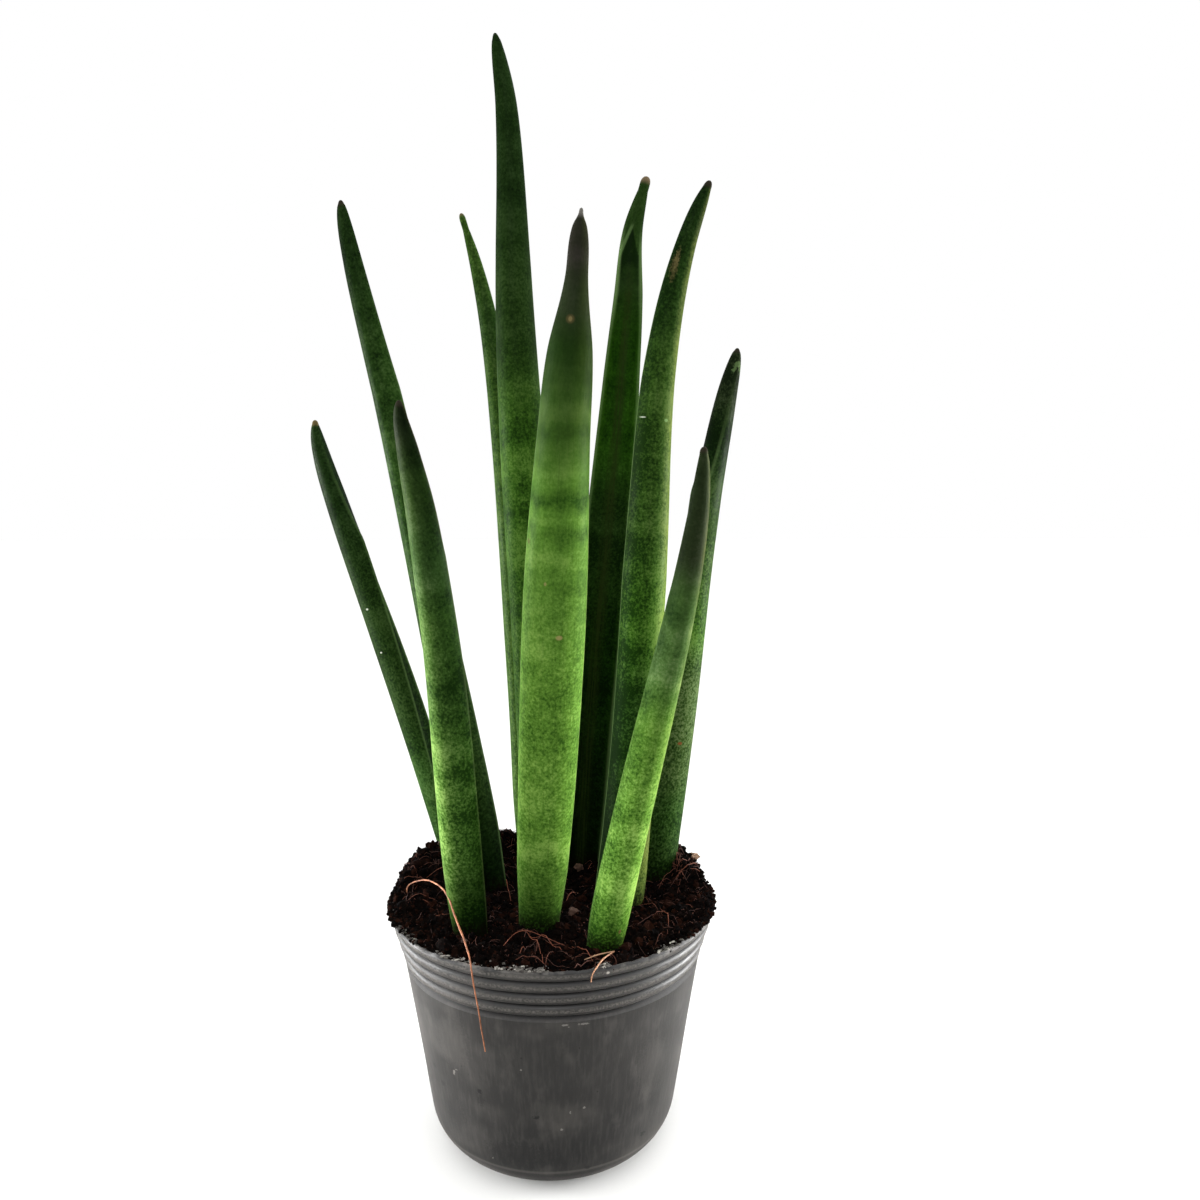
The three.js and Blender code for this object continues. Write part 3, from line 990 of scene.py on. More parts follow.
        # Painted shade in the open channel's hollow, deeper at its mouth where it closes into a V.
        if self.channel:
            closing = add_node(tree, EVEN_RANGE, at.along, CHANNEL_CLOSES, CHANNEL_TIP, 0.85, 0.0)
            depth = add_node(tree, SUBTRACT, closing, add_node(tree, ABSOLUTE, at.side))
            hollow = add_node(tree, MULTIPLY, add_node(tree, RANGE, depth, 0.0, 0.2), at.front)
            total = add_node(tree, TOTAL, total, hollow, self.channel)
            mouth_shade = add_node(tree, RANGE, at.along, CHANNEL_CLOSES - 0.02, CHANNEL_CLOSES + 0.025)
            total = add_node(tree, TOTAL, total, add_node(tree, MULTIPLY, hollow, mouth_shade), 0.42)
        # Painted shade up the leaf's foot near the soil.
        foot = add_node(tree, RANGE, at.height, self.shaded_foot * MM, self.soil_line * MM)
        return add_node(tree, TOTAL, total, foot, 0.4)

    @staticmethod
    def crease(at: SkinMap, colour: bpy.types.NodeSocket) -> bpy.types.NodeSocket:
        """Draws the brown crease down an open channel and the pale lips where it closes.

        Args:
            at: the place on the leaf.
            colour: the colour so far.

        Returns:
            The colour with crease and lips.
        """
        tree = at.tree
        middle = add_node(tree, RANGE, add_node(tree, ABSOLUTE, at.side), 0.42, 0.05, 0.0, 0.75)
        broken = add_node(tree, MULTIPLY, middle, add_node(tree, RANGE, at.streaks, 0.4, 0.6, 0.35, 1.0))
        crease = add_node(tree, MULTIPLY, broken, add_node(tree, RANGE, at.along, CHANNEL_CLOSES, 0.84))
        colour = add_node(tree, MIX, crease, colour, Colour.STREAK)
        closing = add_node(tree, EVEN_RANGE, at.along, CHANNEL_CLOSES, CHANNEL_TIP, 0.95, 0.12)
        off = add_node(tree, ABSOLUTE, add_node(tree, ADD, closing, at.side))
        lip = add_node(tree, MULTIPLY, add_node(tree, RANGE, off, 0.24, 0.06),
                       add_node(tree, RANGE, at.along, 0.88, 0.905, 0.0, 0.26))
        reach = add_node(tree, RANGE, at.along, CHANNEL_TIP + 0.004, CHANNEL_TIP - 0.004)
        return add_node(tree, MIX, add_node(tree, MULTIPLY, lip, reach), colour, Colour.PALE_MARGIN)

    def margin(self, at: SkinMap, colour: bpy.types.NodeSocket) -> bpy.types.NodeSocket:
        """Draws the pale margin lines and their rusty outer edges.

        Args:
            at: the place on the leaf.
            colour: the colour so far.

        Returns:
            The colour with margins.
        """
        tree = at.tree
        fade = add_node(tree, RANGE, at.along, *self.margin_end)
        for sign, pale, rust in zip((1, -1), self.margins, self.rust):
            inset = add_node(tree, SUBTRACT, at.half, add_node(tree, MULTIPLY, at.across, sign))
            distance = add_node(tree, LENGTH, add_node(tree, JOINED, inset, at.through))
            broad = self.margin_width * MM
            line = add_node(tree, RANGE, distance, 1.3 * broad, 0.4 * broad, 0.0, pale)
            colour = add_node(tree, MIX, add_node(tree, MULTIPLY, line, fade), colour, Colour.PALE_MARGIN)
            colour = stained(tree, colour, (distance, 0.75 * MM, 0.35 * MM, rust, Colour.RUST_MARGIN))
        return colour


# The fractions of a leaf's length at which its small wanderings are given.
STATIONS = (0.15, 0.3, 0.45, 0.6, 0.75, 0.85, 0.93, 0.985)


@dataclass
class Leaf:
    """One thick, channelled, spear-shaped leaf, from its foot in the soil to its tip.

    x holds the four control points of its midline and y its foot and tip. The leaf is widest at the fraction widest
    of its length and narrows from there by the powers taper and blunt. facing is the bearing of the channelled inner
    face at the foot and at the tip, depth the thickness over the width, and hook how far the tip swings sideways.
    sway (in millimetres) and girth (a share of the width) are the leaf's own small wanderings at STATIONS.
    """

    name: str
    x: tuple[float, float, float, float]
    y: tuple[float, float]
    top: float
    width: float
    widest: float
    taper: float
    blunt: float
    hook: float
    depth: float
    facing: tuple[float, float]
    skin: LeafSkin
    sway: tuple[float, ...] = ()
    girth: tuple[float, ...] = ()
    bow: float = 0.0
    nub: float = 0.0

    foot: float = 62
    neck: float = 0.82
    waist: float = 0.08
    tip_width: float = 2.6
    tip_depth: float = 0.75
    tip_depth_power: int = 4
    hook_power: int = 10
    channel: float = 0.45
    tip_bulge: float = 0.7
    channel_end: tuple[float, float] = (0.6, 0.98)
    crowding: float = 1.5
    nub_at: float = 0.9925
    nub_spread: float = 0.006
    tip_from: float = 0.991
    tip_run: float = 0.009
    sides: int = 48
    rings: int = 100
    strides: int = 200

    def __post_init__(self) -> None:
        """Measures the midline."""
        lift = [lerp(self.y[0], self.y[1], i / 3) + (self.bow if i in (1, 2) else 0) for i in range(4)]
        self.knots = [Vector((self.x[i], lift[i], lerp(self.foot, self.top, i / 3))) for i in range(4)]
        self.lengths = [0.0]
        for i in range(self.strides):
            stride = (self.bezier((i + 1) / self.strides) - self.bezier(i / self.strides)).length
            self.lengths.append(self.lengths[-1] + stride)
        self.length = self.lengths[-1]

    def bezier(self, t: float) -> Vector:
        """A point of the midline's cubic curve."""
        a, b, c, d = self.knots
        u = 1 - t
        return a * u ** 3 + b * (3 * u * u * t) + c * (3 * u * t * t) + d * t ** 3

    def heading(self, t: float) -> Vector:
        """The direction of the midline's cubic curve."""
        a, b, c, d = self.knots
        u = 1 - t
        return ((b - a) * (u * u) + (c - b) * (2 * u * t) + (d - c) * (t * t)).normalized()

    def at(self, along: float) -> float:
        """Gives the curve's own parameter at a fraction of its length."""
        goal = along * self.length
        low = min(bisect.bisect_right(self.lengths, goal), self.strides) - 1
        step = self.lengths[low + 1] - self.lengths[low]
        return (low + (goal - self.lengths[low]) / step) / self.strides

    def width_at(self, along: float) -> float:
        """The leaf's width at a fraction of its length, with a pinched dry nub where it has one."""
        rise = self.neck + (1 - self.neck) * math.sin(math.pi / 2 * min(along / self.widest, 1))
        past = max((along - self.widest) / (1 - self.widest), 0)
        narrow = (1 - past ** self.taper) ** self.blunt
        pinch = 1 - self.nub * math.exp(-(((along - self.nub_at) / self.nub_spread) ** 2))
        wander = 1 + 0.012 * noise.noise(Vector((along * 9, self.top, self.width)))
        end = math.sqrt(max(1 - (max(along - self.tip_from, 0) / self.tip_run) ** 2, 0.0))
        waist = 1 - self.waist * (1 - smoothstep(along, 0.1, 0.2))
        grown = 1 + self.wandering(self.girth, along)
        return max(self.width * rise * narrow * wander * waist * grown, self.tip_width) * pinch * end

    @staticmethod
    def wandering(values: Sequence[float], along: float) -> float:
        """Interpolates values given at STATIONS, flat before the first and after the last."""
        if not values:
            return 0.0
        spot = bisect.bisect_right(STATIONS, along)
        if spot == 0 or spot == len(STATIONS):
            return values[min(spot, len(values) - 1)]
        low, high = STATIONS[spot - 1], STATIONS[spot]
        before, after = values[max(spot - 2, 0)], values[min(spot + 1, len(values) - 1)]
        first, last = values[spot - 1], values[spot]
        t = (along - low) / (high - low)
        bend = (last - before) / 2 * (t - 2 * t * t + t ** 3) + (after - first) / 2 * (t ** 3 - t * t)
        return first * (1 - 3 * t * t + 2 * t ** 3) + last * (3 * t * t - 2 * t ** 3) + bend

    def hollow(self, along: float) -> float:
        """How far the inner face is hollowed, as a share of the depth."""
        return lerp(self.channel, -self.tip_bulge, smoothstep(along, *self.channel_end))

    def place(self, along: float, side: float, front: float) -> tuple[Vector, Vector, float]:
        """Places a point of the leaf's skin.

        Args:
            along: the fraction of the leaf's length.
            side: from -1 to 1 across the leaf.
            front: from -1 on the outer face to 1 on the inner face.

        Returns:
            The point, its place on the straightened leaf, and half the leaf's width there.
        """
        t = self.at(along)
        centre, tangent = self.bezier(t), self.heading(t)
        centre.x += self.hook * along ** self.hook_power + self.wandering(self.sway, along)
        tangent.x += self.hook * self.hook_power * along ** (self.hook_power - 1) / self.length
        tangent.normalize()
        bearing = math.radians(lerp(*self.facing, along))
        inward = Vector((math.cos(bearing), math.sin(bearing), 0))
        inward = (inward - tangent * inward.dot(tangent)).normalized()
        across = tangent.cross(inward)
        width = self.width_at(along)
        depth = width * lerp(self.depth, self.tip_depth, along ** self.tip_depth_power)
        hollow = self.hollow(along)
        bulge = max(-hollow, 0)
        outer = depth / (1 + bulge)
        reach = -hollow * outer * front * front if front > 0 else outer * front
        point = centre + across * (side * width / 2) + inward * (reach + outer * (1 - bulge) / 2)
        if along == 0:
            point.z = self.foot
        return point, Vector((side * width / 2, reach, along * self.length)), width / 2

    def build(self, shift: float) -> bpy.types.Object:
        """Builds and dresses the leaf.

        Args:
            shift: moves the skin's patterns.

        Returns:
            The leaf's object.
        """
        deselect()
        bpy.ops.mesh.primitive_cylinder_add(vertices=self.sides, radius=1, depth=1)
        leaf = newest(self.name.replace("leaf_", "blade_"))

        def ring() -> None:
            """Divides the rod into rings along its length."""
            bpy.ops.mesh.select_mode(type="EDGE")
            bpy.ops.mesh.select_all(action="DESELECT")
            bpy.ops.object.mode_set(mode="OBJECT")
            for edge in leaf.data.edges:
                start, end = (leaf.data.vertices[i].co for i in edge.vertices)
                edge.select = abs(start.z - end.z) > 0.5
            bpy.ops.object.mode_set(mode="EDIT")
            bpy.ops.mesh.subdivide(number_cuts=self.rings - 1)
            bpy.ops.mesh.select_mode(type="VERT")

        edit(leaf, ring)
        stored = []
        for vertex in leaf.data.vertices:
            share = min(max(vertex.co.z + 0.5, 0), 1)
            along = 1 - (1 - share) ** self.crowding
            point, straight, half = self.place(along, vertex.co.x, vertex.co.y)
            stored.append((straight * MM, along, half * MM, smoothstep(vertex.co.y, -0.1, 0.4)))
            vertex.co = point * MM
        places, *numbers = zip(*stored)
        store(leaf, "leaf_place", "FLOAT_VECTOR", places)
        for name, values in zip(("leaf_along", "leaf_half", "leaf_front"), numbers):
            store(leaf, name, "FLOAT", values)
        edit(leaf, close_up)
        smooth(leaf, 55)
        return dress(leaf, self.skin.make(leaf.name, shift), Slot.LEAF, self.name)


# Most leaves start from a darker tint low down: their own darker colour there, and partly painted shade near the soil
# and between the leaves, most of all on leaf_tall_left and leaf_channelled.
LEAVES = (
    Leaf("leaf_far_left", (-30, -52, -65, -99), (31, 36), 267, 15.5, 0.48, 2.2, 0.54, 9, 0.62, (-22, 25),
         LeafSkin(((0.3, Colour.BOTTLE), (0.45, Colour.FOREST), (0.6, Colour.FOREST), (0.85, Colour.NIGHT),
                   (1.0, Colour.NIGHT)),
                  belts=((65, 6, -0.26), (81, 5, 0.15), (105, 8, -0.14), (119, 3, 0.12), (136, 5, -0.18),
                         (145, 3, 0.13), (159, 3, -0.15)),
                  inner=0.3, speckle=2.4, fine_top=0.8, dry_tip=0.985, dry=Colour.RUST_MARGIN,
                  scars=(Scar(-5.2, 138.5, 0.8, 0.8, Colour.CHALK), Scar(-5.5, 120.8, 0.7, 0.7, Colour.CHALK))),
         (-0.2, -0.1, -0.2, -0.3, 0.0, 0.3, 0.0, -0.4), (0.01, 0.01, 0.03, 0.04, 0.06, 0.11, 0.18, 0.27),
         tip_width=3.2),
    Leaf("leaf_tall_left", (-21, -39, -49, -77), (9, 4), 340, 16.5, 0.26, 1, 0.42, 5, 0.6, (45, 60),
         LeafSkin(((0.15, Colour.PITCH), (0.3, Colour.FOREST), (0.62, Colour.BOTTLE), (0.75, Colour.FERN),
                   (0.95, Colour.NIGHT)),
                  belts=((200, 4, -0.2), (267, 6, 0.12)),
                  speckle=2.2, fine_top=0.8),
         (0.4, 0.0, -0.2, -0.1, 0.3, 0.5, 0.3, 0.0), (0.07, 0.03, 0.01, 0.01, 0.04, 0.11, 0.22, 0.34)),
    Leaf("leaf_front_left", (-25, -37, -29, -50), (-24, -58), 267, 15.5, 0.32, 1.25, 0.42, 6, 0.6, (55, 60),
         LeafSkin(((0.1, Colour.NIGHT), (0.2, Colour.MOSS), (0.31, Colour.MEADOW), (0.44, Colour.MEADOW),
                   (0.56, Colour.LICHEN), (0.66, Colour.LICHEN), (0.76, Colour.TEAL), (0.86, Colour.SAGE),
                   (0.97, Colour.UMBER)),
                  belts=((45, 4, -0.3), (53, 3, -0.14), (74, 3, 0.14), (82, 3, -0.25), (89, 3, 0.22),
                         (97, 4, -0.26), (108, 4, 0.12), (120, 4, 0.34), (130, 3, -0.1), (139, 4, -0.12),
                         (147, 3, 0.1), (152, 5, -0.15)),
                  clouds=0.9, speckle=2.4, mottle=0.6, flank_shade=-0.22, shade=0.75, margins=(0.1, 0.1), rust=(0.4, 0.1)),
         (-0.9, -0.7, -0.4, 0.0, 0.2, 1.1, 0.6, -0.4), (-0.06, -0.05, -0.03, -0.01, 0.02, 0.12, 0.14, 0.13)),
    Leaf("leaf_slim_back", (-8, -16, -12, -32), (41, 50), 348, 12, 0.44, 2, 0.63, -3, 0.6, (70, 70),
         LeafSkin(((0.3, Colour.MOSS), (0.62, Colour.MOSS), (0.75, Colour.MOSS), (0.85, Colour.FERN),
                   (0.95, Colour.MOSS)),
                  belts=((167, 4, -0.13), (185, 5, -0.17), (221, 3, 0.13), (230, 3, -0.1)),
                  speckle=2.2, fine_top=0.8, dry_tip=0.993, dry=Colour.HORN),
         (-0.5, 0.1, 0.0, 0.1, 0.3, 0.8, 0.7, 0.4), (-0.02, -0.02, 0.02, 0.05, 0.06, 0.06, 0.06, 0.07)),
    Leaf("leaf_tallest", (-9, 4, -25, -8), (33, 26), 405, 18, 0.28, 1.4, 0.42, -11, 0.5, (80, 80),
         LeafSkin(((0.3, Colour.IVY), (0.55, Colour.IVY), (0.7, Colour.FOREST), (0.85, Colour.NIGHT),
                   (0.95, Colour.NIGHT)),
                  belts=((132, 6, 0.16), (154, 7, -0.34), (169, 5, 0.3), (188, 7, -0.36), (200, 6, 0.2),
                         (216, 6, -0.17), (231, 4, 0.15), (259, 4, -0.1)),
                  bands=0.6, clouds=0.9, speckle=2.2, fine_top=0.6, dry_tip=0.996, dry=Colour.UMBER),
         (0.1, 0.0, -0.1, -0.1, 0.0, 0.6, 0.6, -0.3), (0.02, 0.06, 0.1, 0.11, 0.07, 0.02, 0.02, 0.05)),
    Leaf("leaf_broad_front", (-6, 1, 0, 9), (-21, -68), 319.5, 19.5, 0.4, 2.8, 0.7, 0, 0.42, (85, 85),
         LeafSkin(((0.1, Colour.MOSS), (0.28, Colour.APPLE), (0.46, Colour.APPLE), (0.56, Colour.GRASS),
                   (0.68, Colour.GRASS), (0.77, Colour.MOSS), (0.85, Colour.FOREST), (0.9, Colour.UMBER),
                   (0.96, Colour.HUSK)),
                  belts=((60, 4, -0.32), (70, 3, 0.16), (76, 4, -0.1), (102, 4, 0.06), (145, 6, -0.06),
                         (162, 4, -0.14), (169, 3, 0.2), (174, 3, -0.1), (180, 3, 0.28), (187, 4, -0.16),
                         (200, 3, 0.12), (206, 4, -0.3), (214, 3, 0.08), (230, 5, 0.05)),
                  bands=0.7, clouds=0.6, mottle=0.6, glow=0.75, fine_top=0.2, flank_shade=-0.08, flush=0.04,
                  margins=(0.2, 0.25), rust=(0.0, 0.35), dry=Colour.DRY_NUB,
                  scars=(Scar(0.4, 232, 2.6, 2.6, Colour.RUST_MARGIN, 0.45),
                         Scar(0.4, 232, 1.2, 1.5, Colour.SCAR, 0.3), Scar(-2.5, 137, 2.2, 1.6, Colour.SCAR, 0.6),
                         Scar(2.5, 154, 0.9, 1.2, Colour.SCAR, 0.5),
                         Scar(8.6, 166, 1.1, 1.8, Colour.RUST_MARGIN, 0.6))),
         (-1.2, -1.0, -0.8, -0.6, -0.35, 0.15, 0.5, 0.1), (-0.06, -0.01, 0.04, 0.05, -0.01, 0.04, -0.2, 0.22),
         bow=-4, nub=0.3, waist=0.14, tip_width=1.9),
    Leaf("leaf_channelled", (11, 10, 34, 25), (29, 30), 357, 17, 0.39, 2.1, 0.53, 12, 0.6, (-85, -95),
         LeafSkin(((0.1, Colour.PITCH), (0.38, Colour.PINE), (0.56, Colour.FERN), (0.68, Colour.JADE),
                   (0.78, Colour.JADE), (0.87, Colour.FOREST), (1.0, Colour.FOREST)),
                  belts=((63, 5, -0.1), (101, 3, 0.14), (125, 12, -0.1), (157, 5, 0.15), (191, 10, -0.17),
                         (247, 5, -0.12), (264, 5, 0.18)),
                  clouds=0.8, channel=0.3, base=-0.06, margins=(0.3, 0.4), margin_width=1.6,
                  margin_end=(0.945, 0.9), dry=Colour.HORN),
         (-0.2, -0.5, -0.6, -0.5, 0.1, 0.4, -0.9, -0.2), (0.08, 0.07, 0.06, 0.04, 0.0, -0.02, -0.03, -0.03),
         channel_end=(0.8, 0.93), tip_width=3.8),
    Leaf("leaf_tall_right", (23, 38, 29, 46), (-8, -12), 343.6, 16.5, 0.52, 1, 0.49, 8, 0.5, (100, 110),
         LeafSkin(((0.2, Colour.FOREST), (0.34, Colour.BOTTLE), (0.47, Colour.IVY), (0.6, Colour.MOSS),
                   (0.76, Colour.MOSS), (0.87, Colour.FERN), (0.97, Colour.NIGHT)),
                  belts=((86, 4, 0.24), (107, 4, 0.22), (115, 3, -0.3), (123, 2, 0.2), (130, 6, -0.16),
                         (145, 4, 0.15), (166, 4, -0.26), (181, 5, 0.2), (207, 8, -0.24), (238, 6, 0.16)),
                  clouds=1.0, speckle=2.7, glow=0.65, fine_top=0.7, flank_shade=0.42, flush=0.22, margins=(0.35, 0.1),
                  margin_width=0.5, rust=(0.0, 0.7),
                  scars=(Scar(2.7, 253, 2.2, 9.0, Colour.RUST_MARGIN, 0.4, True),
                         Scar(2.5, 256, 1.4, 7, Colour.SCAR, 0.16, True),
                         Scar(5.5, 203.5, 1.3, 0.5, Colour.CHALK, 0.6),
                         Scar(-1.8, 203, 1.6, 1.2, Colour.PALE_MARGIN))),
         (-1.6, -1.15, -0.4, 0.2, -0.15, -0.35, -0.15, 0.1), (0.21, 0.07, -0.01, -0.01, 0.02, 0.06, 0.11, 0.28),
         waist=-0.06, tip_width=3.0),
    Leaf("leaf_front_right", (15, 22, 38, 48), (-36, -76), 253, 14, 0.23, 1.1, 0.43, -4, 0.6, (120, 110),
         LeafSkin(((0.1, Colour.IVY), (0.3, Colour.LIME), (0.4, Colour.LIME), (0.55, Colour.GRASS),
                   (0.67, Colour.TEAL), (0.75, Colour.BRONZE), (0.84, Colour.UMBER), (0.96, Colour.UMBER)),
                  belts=((54, 6, -0.27), (73, 4, -0.18), (79, 3, 0.14), (87, 3, -0.12), (111, 4, -0.24),
                         (120, 3, 0.12), (126, 3, -0.24), (136, 3, 0.16), (142, 3, -0.25), (149, 3, 0.12)),
                  glow=0.75, clouds=0.6, mottle=0.6, speckle=2.0, fine_top=0.3, flank_shade=0.15, flush=0.2,
                  margins=(0.1, 0.25),
                  scars=(Scar(-0.3, 37, 1.0, 1.9, Colour.BARK, 0.6),)),
         (-0.1, 0.1, 0.1, 0.1, 0.0, -0.7, -0.9, -0.8), (-0.02, 0.0, 0.02, 0.03, 0.04, 0.09, 0.11, 0.12)),
    Leaf("leaf_far_right", (40, 52, 52, 72), (17, 20), 293, 16, 0.42, 1.9, 0.45, -1, 0.6, (150, 205),
         LeafSkin(((0.14, Colour.FOREST), (0.24, Colour.BOTTLE), (0.31, Colour.SAGE), (0.46, Colour.SAGE),
                   (0.54, Colour.IVY), (0.62, Colour.MOSS), (0.84, Colour.NIGHT), (0.95, Colour.UMBER)),
                  belts=((52, 4, 0.2), (80, 5, 0.15), (103, 10, -0.2), (113, 4, 0.15), (122, 4, -0.28),
                         (132, 4, 0.2), (182, 7, -0.35), (199, 7, 0.2), (212, 5, -0.34), (223, 4, 0.3)),
                  speckle=3.0, fine_top=0.8, inner=0.3,
                  scars=(Scar(3.0, 226, 1.2, 5.0, Colour.PALE_MARGIN, 0.3, True),
                         Scar(7.1, 82.8, 1.0, 1.2, Colour.COIR_RED, 0.8))),
         (-2.3, -0.9, 0.1, -0.3, -0.8, -1.1, -1.2, -0.9), (0.33, 0.14, 0.03, 0.06, 0.11, 0.18, 0.2, 0.23),
         tip_width=2.9, waist=-0.1),
)


# ---- Soil ---------------------------------------------------------------------------------------


@dataclass(frozen=True)
class Peat:
    """Moist peat crumb: almost black, dull, with brown and reddish shreds."""

    name: str = "moist_peat"
    clump_mm: float = 4.5
    shred_mm: tuple[float, float, float] = (0.9, 2.2, 0.9)
    roughness: float = 1.0
    specular: float = 0.03

    def make(self) -> bpy.types.Material:
        """Makes the material."""
        material, tree, shader = new_material(self.name)
        place = add_node(tree, OBJECT_PLACE)
        tone = add_node(tree, STORED_NUMBER, attribute_name="tone")
        clumps = grain(tree, place, (self.clump_mm,) * 3, 4)
        shreds = grain(tree, place, self.shred_mm, 3, 2.3)
        colour = stained(tree, Colour.PEAT_BLACK_AND_SHADE, (clumps, 0.35, 0.68, 0.8, Colour.PEAT_BROWN),
                         (shreds, 0.6, 0.72, 0.6, Colour.PEAT_RED), (tone, 0.7, 1.0, 0.55, Colour.PEAT_RED))
        plug(shader, {"Base Color": colour, "Roughness": self.roughness, "Specular IOR Level": self.specular,
                      "Normal": add_node(tree, BUMP, shreds, 0.6, 0.8 * MM)})
        return material


@dataclass(frozen=True)
class Shreds:
    """Dry plant matter or grit, its colour mixed piece by piece between two named colours."""

    name: str
    first: Colour
    last: Colour
    grain_mm: float
    roughness: float = 0.8

    def make(self) -> bpy.types.Material:
        """Makes the material."""
        material, tree, shader = new_material(self.name)
        tone = add_node(tree, STORED_NUMBER, attribute_name="tone")
        flecks = grain(tree, add_node(tree, OBJECT_PLACE), (self.grain_mm,) * 3, 3)
        colour = stained(tree, add_node(tree, MIX, tone, self.first, self.last),
                         (flecks, 0.45, 0.7, 0.55, Colour.PEAT_BROWN))
        plug(shader, {"Base Color": colour, "Roughness": self.roughness,
                      "Normal": add_node(tree, BUMP, flecks, 0.4, 0.2 * MM)})
        return material


@dataclass(frozen=True)
class Strands:
    """Loose fibres of one sort: the least and the greatest length, arch, radius and tone."""

    length: tuple[float, float]
    lift: tuple[float, float]
    radius: tuple[float, float]
    tone: tuple[float, float]


LONG_THREADS = Strands((4, 17), (0.2, 2.2), (0.05, 0.12), (0.2, 1))
SHORT_SHREDS = Strands((1.2, 4.5), (0.1, 0.9), (0.05, 0.13), (0.6, 1))
TUFTED = Strands((6, 16), (0.5, 2.5), (0.07, 0.14), (0.3, 0.95))


@dataclass(frozen=True)
class Heap:
    """A heap on the soil's surface: its centre, spread and height."""

    x: float
    y: float
    spread: float
    height: float


@dataclass
class Soil:
    """The peat that fills the pot, with its crumbs, clods, grit, bark and fibres."""

    pot: Pot
    leaves: Sequence[Leaf]
    level: float = 89.5
    rise: float = 1.2
    relief: float = 0.6
    edge: float = 57.9
    heap_at_rim: float = 0.68
    collar: tuple[tuple[float, float], ...] = ((56.1, 85), (57.2, 86.6))
    clump: float = 2.5
    clump_size: float = 6.5
    crumb_size: float = 2.4
    heaps: tuple[Heap, ...] = (Heap(-50, 17, 15, 12.5), Heap(-26, 48, 14, 7.5), Heap(49, 22, 13, 11),
                               Heap(18, 50, 13, 3))
    around: int = 300
    rings: int = 96
    lump_shapes: int = 7
    lump_rough: float = 0.75
    lump_stretch: tuple[float, float] = (0.7, 1.4)
    lump_lift: tuple[float, float] = (-0.1, 0.55)
    grain_size: tuple[float, float] = (0.15, 0.8)
    spill_size: tuple[float, float] = (0.35, 1.0)
    overhang: float = 0.3
    laid_radius: float = 0.13
    crumbs: int = 8800
    clods: int = 420
    grains: int = 460
    threads: int = 170
    shreds: int = 900
    spilled: int = 900

    def __post_init__(self) -> None:
        """Starts the soil's own seeded draw."""
        self.draw = random.Random(SEED)

    def height(self, x: float, y: float) -> float:
        """The soil's height at a place, as its solid has it."""
        heaped = 0.0
        for heap in self.heaps:
            away = ((x - heap.x) ** 2 + (y - heap.y) ** 2) / (2 * heap.spread ** 2)
            heaped += heap.height * math.exp(-away)
        bank = lerp(1, self.heap_at_rim, min(math.hypot(x, y) / self.edge, 1.05) ** 10)
        crumble = math.sin(0.31 * x + 0.9) * math.cos(0.27 * y - 0.4) + 0.6 * math.sin(0.47 * x - 0.53 * y + 2)
        return self.level + self.rise * y / self.pot.rim_radius + bank * heaped + self.relief * crumble

    def surface(self, x: float, y: float) -> float:
        """The soil's height with its clumps."""
        clump = noise.noise(Vector((x, y, 0)) / self.clump_size) * self.clump
        crumb = noise.noise(Vector((x, y, 40)) / self.crumb_size)
        shelter = 1 - smoothstep(math.hypot(x, y), self.edge - 3, self.edge)
        dip = sum(deep * math.exp(-((x - middle_x) ** 2 + (y - middle_y) ** 2) / (2 * spread ** 2))
                  for middle_x, middle_y, spread, deep in DIPS)
        return self.height(x, y) + (clump + crumb) * (0.35 + 0.65 * shelter) - dip

    def bed(self) -> bpy.types.Object:
        """Builds the body of soil."""
        inset = self.pot.wall + GAP
        groove = inset + self.pot.rib_height
        sides = [(0, inset), *self.pot.corner(inset, 8), self.pot.wall_top(inset + GAP),
                 (self.pot.rib_foot_radius - groove, self.pot.height - self.pot.rib_zone), *self.collar]
        rings = [(self.edge * (1 - i / self.rings), self.pot.height) for i in range(self.rings + 1)]
        bed = spun("peat_bed", [*sides, *rings], self.around)

        def settle(point: Vector) -> Vector:
            """Raises the top rings to the soil's surface."""
            if point.z > self.pot.height - 0.5:
                return Vector((point.x, point.y, self.surface(point.x, point.y)))
            return point

        move_points(bed, settle)
        smooth(bed, 60)
        return bed

    def taken(self, x: float, y: float) -> bool:
        """Tells whether a leaf stands at a place."""
        for leaf in self.leaves:
            share = (self.level - leaf.foot) / (leaf.top - leaf.foot)
            centre = leaf.bezier(leaf.at(share))
            if math.hypot(x - centre.x, y - centre.y) < leaf.width * 0.3:
                return True
        return False

    def spot(self, reach: float) -> tuple[float, float]:
        """Draws a free place on the soil within a radius."""
        while True:
            radius = reach * math.sqrt(self.draw.random())
            angle = self.draw.uniform(0, 2 * math.pi)
            x, y = radius * math.cos(angle), radius * math.sin(angle)
            if not self.taken(x, y):
                return x, y

    def lump(self, name: str, subdivisions: int, rough: float, shift: float) -> tuple[list[Vector], list[list[int]]]:
        """Models one rough lump of radius 1.

        Args:
            name: its name.
            subdivisions: how fine the sphere starts.
            rough: how far its surface is broken.
            shift: makes each lump differ.

        Returns:
            Its points and faces.
        """
        deselect()
        bpy.ops.mesh.primitive_ico_sphere_add(subdivisions=subdivisions, radius=1)
        lump = newest(name)
        points = []
        for vertex in lump.data.vertices:
            swell = 1 + rough * noise.noise(vertex.co * 1.7 + Vector((shift, shift, shift)))
            points.append(vertex.co * swell)
        faces = [list(face.vertices) for face in lump.data.polygons]
        bpy.data.objects.remove(lump)
        return points, faces

